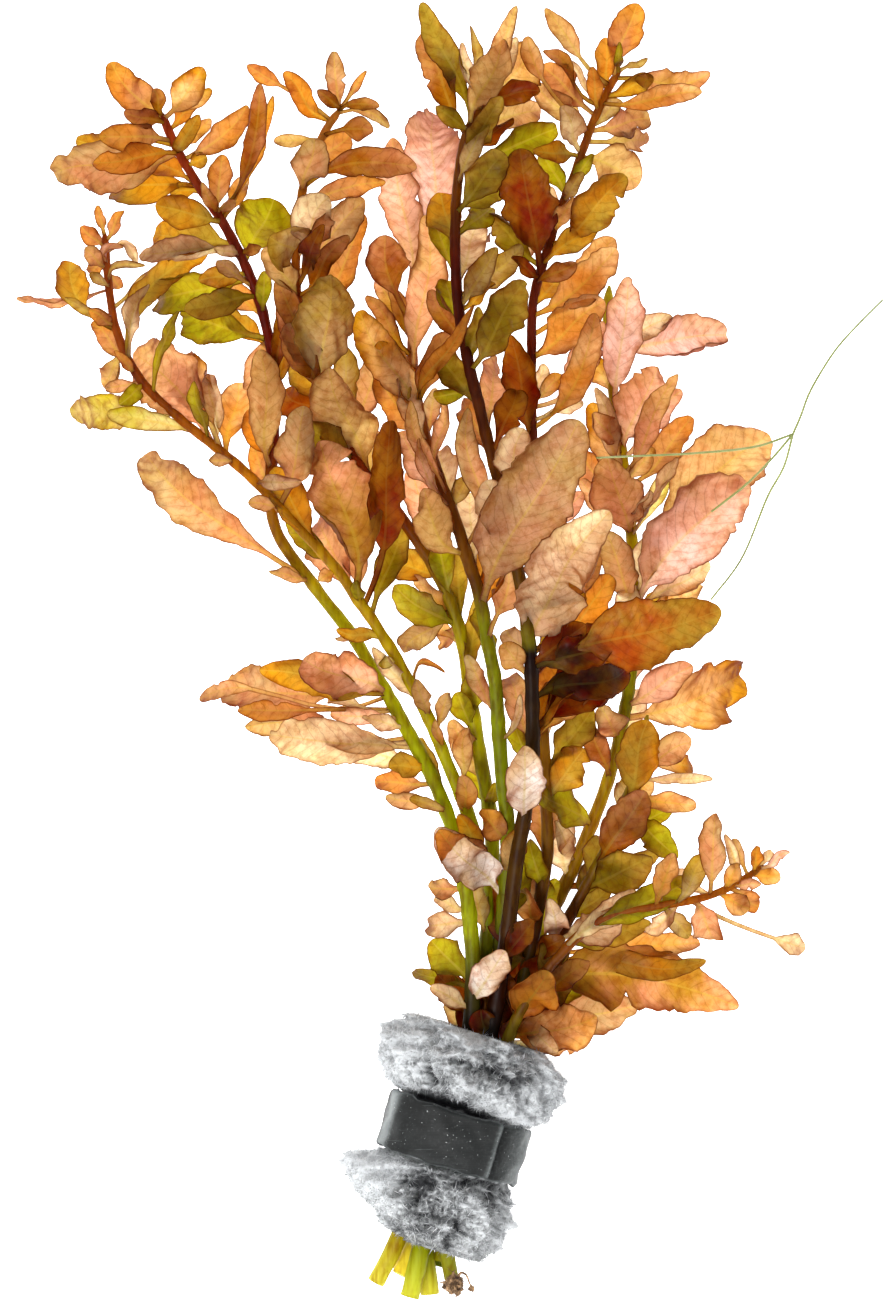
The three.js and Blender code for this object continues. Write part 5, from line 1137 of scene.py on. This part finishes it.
# The wool's outside at an angle round the collar and a place along it: half an ellipse to each side, as wide
# and as deep as woolRings says, moved out and in by lumps, in by the hollows on its upper side, each a bell
# shape, and pressed flat on the table. With it comes its shade: 0 in a hollow, 1 on a lump.
def woolOutside(angle, along):
    left, right, deep = (np.interp(along, woolRings[:, 0], woolRings[:, i]) for i in (1, 2, 3))
    puff = np.clip((np.abs(along) - woolLook["strip"]) / 2.0, 0, 1)
    width = np.where(np.cos(angle) > 0, right, left)
    most, where, reach = woolLook["overhang"]
    overhang = most * bell((along, where, reach)) * np.clip(np.sin(angle), 0, 1)
    points = np.stack([width * np.cos(angle), along - overhang * (along > 0), deep * np.sin(angle)], -1)
    out = unit(points * [1, 0.0, 1])
    size, shade = -woolLook["sunk"], np.where(along > 0, woolLook["levels"][1], woolLook["levels"][0])
    # each lump is painted paler where it stands out and darker where it sinks: painted light and shade
    for lumpSize, seed, stand, paler in woolLook["relief"]:
        lumps = ripple(points, lumpSize, seed, 30)
        size, shade = size + stand * lumps, shade + paler * lumps
    flat = fromCollar(points)
    hollow = bells(flat, woolHollows) * np.clip(np.sin(angle) * 2, 0, 1)
    points = points + out * (puff * size - hollow)[..., None]
    points[..., 2] = np.maximum(points[..., 2], 0.15 - collar["middle"][2])
    # the shade takes the painted light and shade of the table above, and painted shade in the hollows
    return points, np.clip(shade + bells(flat, woolLightAndShade) - woolLook["hollowShade"] * hollow, 0, 1)


# Wool: between dark and light by the shade that its points carry plus a grain of noise.
def woolMaterial(name, dark, light, share):
    material, tree = newMaterial(name)
    grain = noise(tree, objectPlace(tree), 1100.0, 5.0, 0.75)
    mix = timesPlus(tree, maths(tree, "SUBTRACT", grain, 0.5), 0.5, carried(tree, "shade"))
    colour = blended(tree, ramped(tree, mix, -0.05, 0.82), linear(dark), linear(light))
    finishMaterial(tree, {"Base Color": colour, "Roughness": 0.42, "Specular IOR Level": 0.6,
                          "Normal": bumped(tree, grain, 0.7, 0.0006)}, share)
    return material


# Fibres: each a thin three-sided hair drawn to a point, on a bent path along the wool:
# root + length (0.8 heading s + lift outwards (s - s^2 / 2) + 0.8 curl s^2). Its shade is the wool's where it
# is rooted, times a chance of its own; one in so many is thicker and painted brighter, a painted glint.
def fibreSurface(roots, outwards, shades, rng, lengths):
    count = len(roots)
    length = (rng.uniform(*lengths, count) * np.clip(shades * 5, 0.15, 1))[:, None, None]
    loose = unit(rng.normal(size=(count, 3)))
    heading = unit(loose - outwards * (loose * outwards).sum(-1, keepdims=True))[:, None]
    curl = unit(rng.normal(size=(count, 3)))[:, None]
    lift = rng.uniform(0.05, 0.8, count)[:, None, None]
    s = np.array([0, 0.5, 1.0])[None, :, None]
    way = heading * s * 0.8 + outwards[:, None] * lift * (s - s**2 / 2) + curl * 0.8 * s**2
    path = roots[:, None] + length * way
    tangent = unit(np.gradient(path, axis=1))
    sideways = unit(np.cross(tangent, [0.31, 0.22, 0.92]))
    third = np.cross(tangent, sideways)
    bright = rng.uniform(size=count) > woolLook["dull"]
    radius = woolLook["fibreRadius"] * rng.uniform(0.7, 1.5, count) * np.where(bright, woolLook["thicker"], 1)
    angle = (2 * np.pi * np.arange(3) / 3)[:, None]
    offset = sideways[:, :2, None] * np.cos(angle) + third[:, :2, None] * np.sin(angle)
    body = (path[:, :2, None] + offset * radius[:, None, None, None]).reshape(count, 6, 3)
    points = np.concatenate([body, path[:, 2:]], 1)
    points[..., 2] = np.maximum(points[..., 2], 0.1)
    tip = np.array([[3 + k, 3 + (k + 1) % 3, 6] for k in range(3)] + [[2, 1, 0]])
    first = (np.arange(count) * 7)[:, None, None]
    faces = [(gridFaces(2, 3)[None] + first).reshape(-1, 4), (tip[None] + first).reshape(-1, 3)]
    # one fibre in so many is painted brighter: a painted glint
    strand = shades * rng.uniform(*woolLook["strands"], count) + woolLook["brighter"] * bright * (shades > 0.2)
    shade = np.repeat(shadeColour(np.clip(strand, 0, 1)), 7, axis=0)
    return {"points": points.reshape(-1, 3), "faces": faces, "shade": shade}


# The collar: a closed tube of wool, its outside from woolOutside and its inside a narrow straight way for
# the stems, joined at both ends; then the fibres, rooted all over the puffs.
def makeWool():
    around, outside, inside = woolLook["grid"]
    ends = woolRings[0, 0], woolRings[-1, 0]
    angle = (2 * np.pi * np.arange(around) / around)[None]
    along = np.linspace(*ends, outside)[:, None]
    outer, shade = woolOutside(angle + 0 * along, along + 0 * angle)
    back = np.linspace(*ends[::-1], inside)[:, None]
    bore = woolLook["bore"]
    inner = np.stack(np.broadcast_arrays(bore * np.cos(angle), back, bore * np.sin(angle)), -1)
    points = fromCollar(np.concatenate([outer, inner])).reshape(-1, 3)
    # the inside, where the stems run, is painted a dim shade
    shades = np.r_[shade.ravel(), np.full(inside * around, 0.2)]
    quads = gridFaces(outside + inside, around, looped=True)
    surface = {"points": points, "faces": outward(points, [quads]), "shade": shadeColour(shades)}
    makePiece("woolCollar", surface, woolMaterial("woolBed", *woolLook["bed"]), ["wool_collar"])
    fibre = woolMaterial("woolFibre", *woolLook["fibre"])
    count = woolLook["fibresPerPiece"]
    names = ("woolFibresLower", "woolFibresUpper", "woolFuzzLower", "woolFuzzUpper")
    for number, name in enumerate(names):
        low, high = woolLook["puffs"][name[-5:]]
        rng = np.random.default_rng(11 + number)
        theta = rng.uniform(0, np.pi, count) + np.pi * (rng.uniform(size=count) > woolLook["upper"])
        place = rng.uniform(low, high, count)
        root, shade = woolOutside(theta, place)
        acrossStep = woolOutside(theta + 0.02, place)[0] - root
        alongStep = woolOutside(theta, place + 0.1)[0] - root
        normal = unit(np.cross(alongStep, acrossStep))
        normal *= np.sign((normal * (root * [1, 0, 1])).sum(-1, keepdims=True) + 1e-9)
        turned = fromCollar(normal) - fromCollar(np.zeros(3))
        roots = fromCollar(root - normal * woolLook["rooted"])
        makePiece(name, fibreSurface(roots, turned, shade, rng, woolLook["fibreLength"]), fibre)
    print("wool: 2 puffs,", len(names) * count, "fibres")


leadLook = {
    "width": 11.5,
    "thickness": 1.0,
    "halfWidth": 13.6,  # of the loop
    "halfDepth": 11.2,
    "from": 118,  # degrees round the loop
    "to": -296,
    "gap": 0.3,  # mm between the laps
    "lifting": (0.45, 0.35),  # share of the length where it starts to move out, and over which it does
    "end": (0.025, 0.5),  # share of the length that stands off, and mm
    "rounding": (0.4, 0.3),  # mm of edge, and mm that it rounds down
    "sway": 0.25,
    "ragged": 0.14,
    "dents": 0.12,
    "squarer": 0.8,  # the power of the loop's sine and cosine: 1 makes an ellipse
    "firstTurn": (0.1, 0.12, 0.33, 0.05, 0.8),  # painted light on one turn: from, growing over, to, fading over, how much
    "secondTurn": (0.775, 0.03, 1.4),  # painted light on a second turn: where, its reach, how much
    "section": 25,
    "steps": 360,
    "base": ("151616", "1e2020"),
    "bloom": "3c3f3f",
    "bare": "8c9292",  # where it is scratched and worn, and its painted light on two turns of the loop
    "specks": "b8bcbc",
}


# Lead: its base colour, then each of clouds, bloom, scratches, worn places and painted light, and specks mixed
# over it.
def leadMaterial():
    material, tree = newMaterial("softLead")
    place = objectPlace(tree)
    turned = node(tree, "Mapping", {"Vector": place, "Rotation": (0.0, 0.0, collar["lean"]),
                                    "Scale": (60.0, 2400.0, 60.0)})
    cloud = noise(tree, place, 120.0, 5.0, 0.6)
    fine = noise(tree, place, 1500.0, 4.0, 0.7)
    scratch = noise(tree, turned.outputs[0], 1.0, 3.0, 0.7)
    speck = noise(tree, place, 2600.0, 1.0, 0.5)
    wearAndLight = times(tree, carried(tree, "wearAndLight"), timesPlus(tree, fine, 0.5, 0.25))
    colour = linear(leadLook["base"][0])
    for value, low, high, share, hexColour in (
            (cloud, 0.3, 0.75, 1.0, leadLook["base"][1]), (fine, 0.5, 0.8, 0.5, leadLook["bloom"]),
            (scratch, 0.64, 0.74, 0.3, leadLook["bare"]), (wearAndLight, 0.1, 0.75, 0.6, leadLook["bare"]),
            (speck, 0.74, 0.78, 1.0, leadLook["specks"])):
        colour = blended(tree, times(tree, ramped(tree, value, low, high), share), colour, linear(hexColour))
    finishMaterial(tree, {"Base Color": colour, "Metallic": 0.35, "Roughness": 0.6, "Specular IOR Level": 0.3,
                          "Normal": bumped(tree, timesPlus(tree, fine, 0.5, scratch), 0.3, 0.0002)})
    return material


# The lead strip: a section with rounded edges carried once and a bit round a squared ellipse. It moves out
# by its own thickness and a gap before it laps its start, its end stands off a little, its sides wander, and
# dents ripple it. It is worn pale along its edges and at its end, and two turns of the loop are painted paler
# as painted light, where those sides catch the light.
def makeLead():
    half, thick = leadLook["width"] / 2, leadLook["thickness"]
    share = np.linspace(0, 1, leadLook["steps"])
    angle = np.radians(leadLook["from"] + (leadLook["to"] - leadLook["from"]) * share)
    start, over = leadLook["lifting"]
    rise = np.clip((share - start) / over, 0, 1)
    loose, standsOff = leadLook["end"]
    lift = (thick + leadLook["gap"]) * rise**2 * (3 - 2 * rise)
    lift += standsOff * np.clip((share - 1 + loose) / loose, 0, 1) ** 2
    section = np.linspace(-half, half, leadLook["section"])
    across = np.r_[section, section[::-1]]
    roundOver, roundDown = leadLook["rounding"]
    edge = np.minimum(half - np.abs(across), roundOver) / roundOver
    rounded = roundDown * (1 - edge) ** 2
    out = np.where(np.arange(len(across)) < len(section), thick - rounded, rounded)
    reach = (lift - thick / 2)[:, None] + out[None]
    squared = lambda v: (np.sign(v) * np.abs(v) ** leadLook["squarer"])[:, None]  # a power that keeps the sign
    x = (leadLook["halfWidth"] + reach) * squared(np.cos(angle))
    z = (leadLook["halfDepth"] + reach) * squared(np.sin(angle))
    path = np.stack([x[:, 0], z[:, 0]], -1)
    lower, upper = (leadLook["ragged"] * ripple(path, 7.0, seed, 12)[:, None] for seed in (41, 42))
    side = ((across / half + 1) / 2)[None]
    y = across[None] + leadLook["sway"] * np.sin(3.1 * angle)[:, None] + lower * (1 - side) + upper * side
    points = np.stack([x, y, z], -1)
    points += unit(points * [1, 0, 1]) * (leadLook["dents"] * ripple(points, 9.0, 21, 20))[..., None]
    # painted light: two turns of the loop, which face the light differently, are painted paler like the worn
    # edges
    starts, grows, ends, fades, most = leadLook["firstTurn"]
    turns = most * np.clip((ends - share) / fades, 0, 1) * np.clip((share - starts) / grows, 0, 1)
    where, over, most = leadLook["secondTurn"]
    turns = np.maximum(turns + most * bell((share, where, over)), np.clip((share - 0.985) / 0.015, 0, 1))
    wearAndLight = np.maximum(1 - edge[None], turns[:, None])
    points = fromCollar(points).reshape(-1, 3)
    faces = outward(points, ringFaces(leadLook["steps"], len(across)))
    surface = {"points": points, "faces": faces, "wearAndLight": shadeColour(wearAndLight.ravel())}
    makePiece("leadStrip", surface, leadMaterial(), ["lead_strip"])
    print("lead strip")


# Root and thread

# A skin between light and dark by one noise, which also dents it.
def plainMaterial(name, light, dark, scale, roughness):
    material, tree = newMaterial(name)
    mix = noise(tree, objectPlace(tree), scale, 5.0, 0.65)
    colour = blended(tree, ramped(tree, mix, 0.35, 0.68), linear(dark), linear(light))
    normal = bumped(tree, mix, 0.6, 0.0004)
    finishMaterial(tree, {"Base Color": colour, "Roughness": roughness, "Normal": normal})
    return material


rootLook = {
    "middle": np.array([-0.2, -29.0, 20.6]),
    "radius": 1.75,
    "lumps": 0.16,  # share of the radius
    "tendrils": (  # from the middle
        [[0.6, 1.0, 0.6], [1.4, 2.4, 0.4], [2.4, 2.0, 0.2], [3.0, 0.6, -0.2], [3.5, -0.7, -0.4]],
        [[-1.0, 0, 0], [-2.0, 0.5, -0.2], [-2.9, 0.3, -0.6]],
        [[0.3, -1.2, 0.2], [0.7, -2.0, -0.3], [0.2, -2.6, -0.8]],
    ),
    "thins": (0.32, 0.14),
    "knob": ([3.5, -0.8, -0.4], 0.34),  # place, and size as a share of the tuft's
    "hairs": 500,
    "hairLength": (0.3, 1.3),
}


# The root tuft: a ball moved out and in by ripples, with thin curled roots coming out of it, and hairs.
def makeRoot():
    rows, around, steps = 40, 48, 26
    middle = rootLook["middle"]
    polar = np.linspace(0.02, np.pi - 0.02, rows)[:, None]
    turn = (2 * np.pi * np.arange(around) / around)[None]
    ball = np.stack([np.sin(polar) * np.cos(turn), np.sin(polar) * np.sin(turn), np.cos(polar) + 0 * turn], -1)
    ball = ball * (rootLook["radius"] * (1 + rootLook["lumps"] * ripple(ball, 0.9, 31, 24)))[..., None]
    ball = ball.reshape(-1, 3)
    knobPlace, knobSize = rootLook["knob"]
    tuft, knob = ({"points": points + middle, "faces": outward(points, ringFaces(rows, around))}
                  for points in (ball, ball * knobSize + knobPlace))
    lines = [evenly(smoothLine(np.array(tendril) + middle), steps) for tendril in rootLook["tendrils"]]
    tendrils = [roundBar(line, np.linspace(*rootLook["thins"], steps), 8) for line in lines]
    rng = np.random.default_rng(5)
    hairs = rootLook["hairs"]
    chosen = ball[rng.integers(0, len(ball), hairs)]
    fuzz = fibreSurface(chosen + middle, unit(chosen), np.ones(hairs), rng, rootLook["hairLength"])
    makePiece("rootTuft", joined([tuft, *tendrils, knob, fuzz]),
              plainMaterial("rootBark", "a8845c", "3c2210", 900.0, 0.7), ["root_tuft"])
    print("root tuft")


# The branches of the thread, from where they fork, and its half thickness there and at their ends.
fork = [67.3, 141, 33]
threadLook = {
    "branches": (
        [fork, [68.8, 144.5, 33], [70.5, 149, 32], [73, 153.5, 31], [76, 158, 30], [80, 162.5, 28],
         [85.5, 168, 25]],
        [fork, [60, 138.5, 36], [47, 137, 42], [38, 136.5, 47], [28, 136, 52]],
        [fork, [63, 136, 33], [58, 131, 34], [51, 125.5, 36]],
        [fork, [65.5, 134.5, 32], [62.5, 129, 31], [57, 116, 30], [51, 108, 30]],
    ),
    "thins": (0.25, 0.19),
    "steps": 60,
}


# The thread: a round bar along each branch.
def makeThread():
    steps = threadLook["steps"]
    radii = np.linspace(*threadLook["thins"], steps)
    bars = [roundBar(evenly(smoothLine(branch), steps), radii, 6) for branch in threadLook["branches"]]
    makePiece("strayThread", joined(bars), plainMaterial("threadSkin", "a2ac6e", "8c9650", 300.0, 0.5),
              ["stray_thread"])
    print("stray thread")


# Stage, light and camera

stageLook = {
    "floorGlow": 1.95,
    "sky": 0.36,
    "table": (3.0, 0.02),  # metres to each side, and metres deep
    "lamps": {  # place, what it points at, size and watts
        "key": ((-0.9, 0.8, 1.7), (0, 0, 0), 0.9, 15.0),
        "fill": ((1.3, -0.5, 1.5), (0, 0, 0), 1.2, 7.0),
        "near": ((-0.1, -0.22, 0.3), (0, -0.1, 0.02), 0.14, 1.35),
    },
    "cameraHeight": 2.6,
    "sensor": 36.0,
    "pictureHeight": 0.261,  # metres that the picture shows from top to bottom
    "aim": (-2.1, 97.5, 22.0),
}


# The light table: a glowing slab under the bunch, a dim white sky, and three soft lamps over it.
def makeStage():
    material, tree = newMaterial("lightTable")
    finishMaterial(tree, {"Base Color": (0.9, 0.9, 0.9, 1.0), "Roughness": 0.6,
                          "Emission Color": (1.0, 1.0, 1.0, 1.0), "Emission Strength": stageLook["floorGlow"]})
    mesh = bpy.data.meshes.new("tableTop")
    side, deep = stageLook["table"]
    mesh.from_pydata([(x, y, z) for z in (-deep, 0) for y in (-side, side) for x in (-side, side)], [],
                     [(0, 2, 3, 1), (4, 5, 7, 6), (0, 1, 5, 4), (1, 3, 7, 5), (3, 2, 6, 7), (2, 0, 4, 6)])
    mesh.materials.append(material)
    table = bpy.data.objects.new("tableTop", mesh)
    bpy.context.collection.objects.link(table)

    world = bpy.data.worlds.new("room")
    world.use_nodes = True
    sky = world.node_tree.nodes["Background"]
    sky.inputs[0].default_value = (1, 1, 1, 1)
    sky.inputs[1].default_value = stageLook["sky"]
    bpy.context.scene.world = world
    for name, (place, aim, size, power) in stageLook["lamps"].items():
        light = bpy.data.lights.new(name, "AREA")
        light.size, light.energy = size, power
        lamp = bpy.data.objects.new(name, light)
        lamp.location = place
        lamp.rotation_mode = "QUATERNION"
        lamp.rotation_quaternion = (Vector(place) - Vector(aim)).to_track_quat("Z", "Y")
        bpy.context.collection.objects.link(lamp)
    print("stage")


# The camera looks straight down from so high, with so long a lens, that the picture is nearly flat.
def makeCamera():
    aim = (np.array(stageLook["aim"]) - outlineMiddle) * 0.001
    data = bpy.data.cameras.new("camera")
    data.sensor_width = stageLook["sensor"]
    data.lens = stageLook["sensor"] * (stageLook["cameraHeight"] - aim[2]) / stageLook["pictureHeight"]
    data.clip_start, data.clip_end = 0.1, 20.0
    camera = bpy.data.objects.new("camera", data)
    camera.location = (aim[0], aim[1], stageLook["cameraHeight"])
    bpy.context.collection.objects.link(camera)
    bpy.context.scene.camera = camera
    bpy.context.scene.view_settings.view_transform = "Standard"
    print("camera")


makeCamera()
makeStage()
makeStems(stemMaterial())
growLeaves(leafMaterial())
makeWool()
makeLead()
makeRoot()
makeThread()
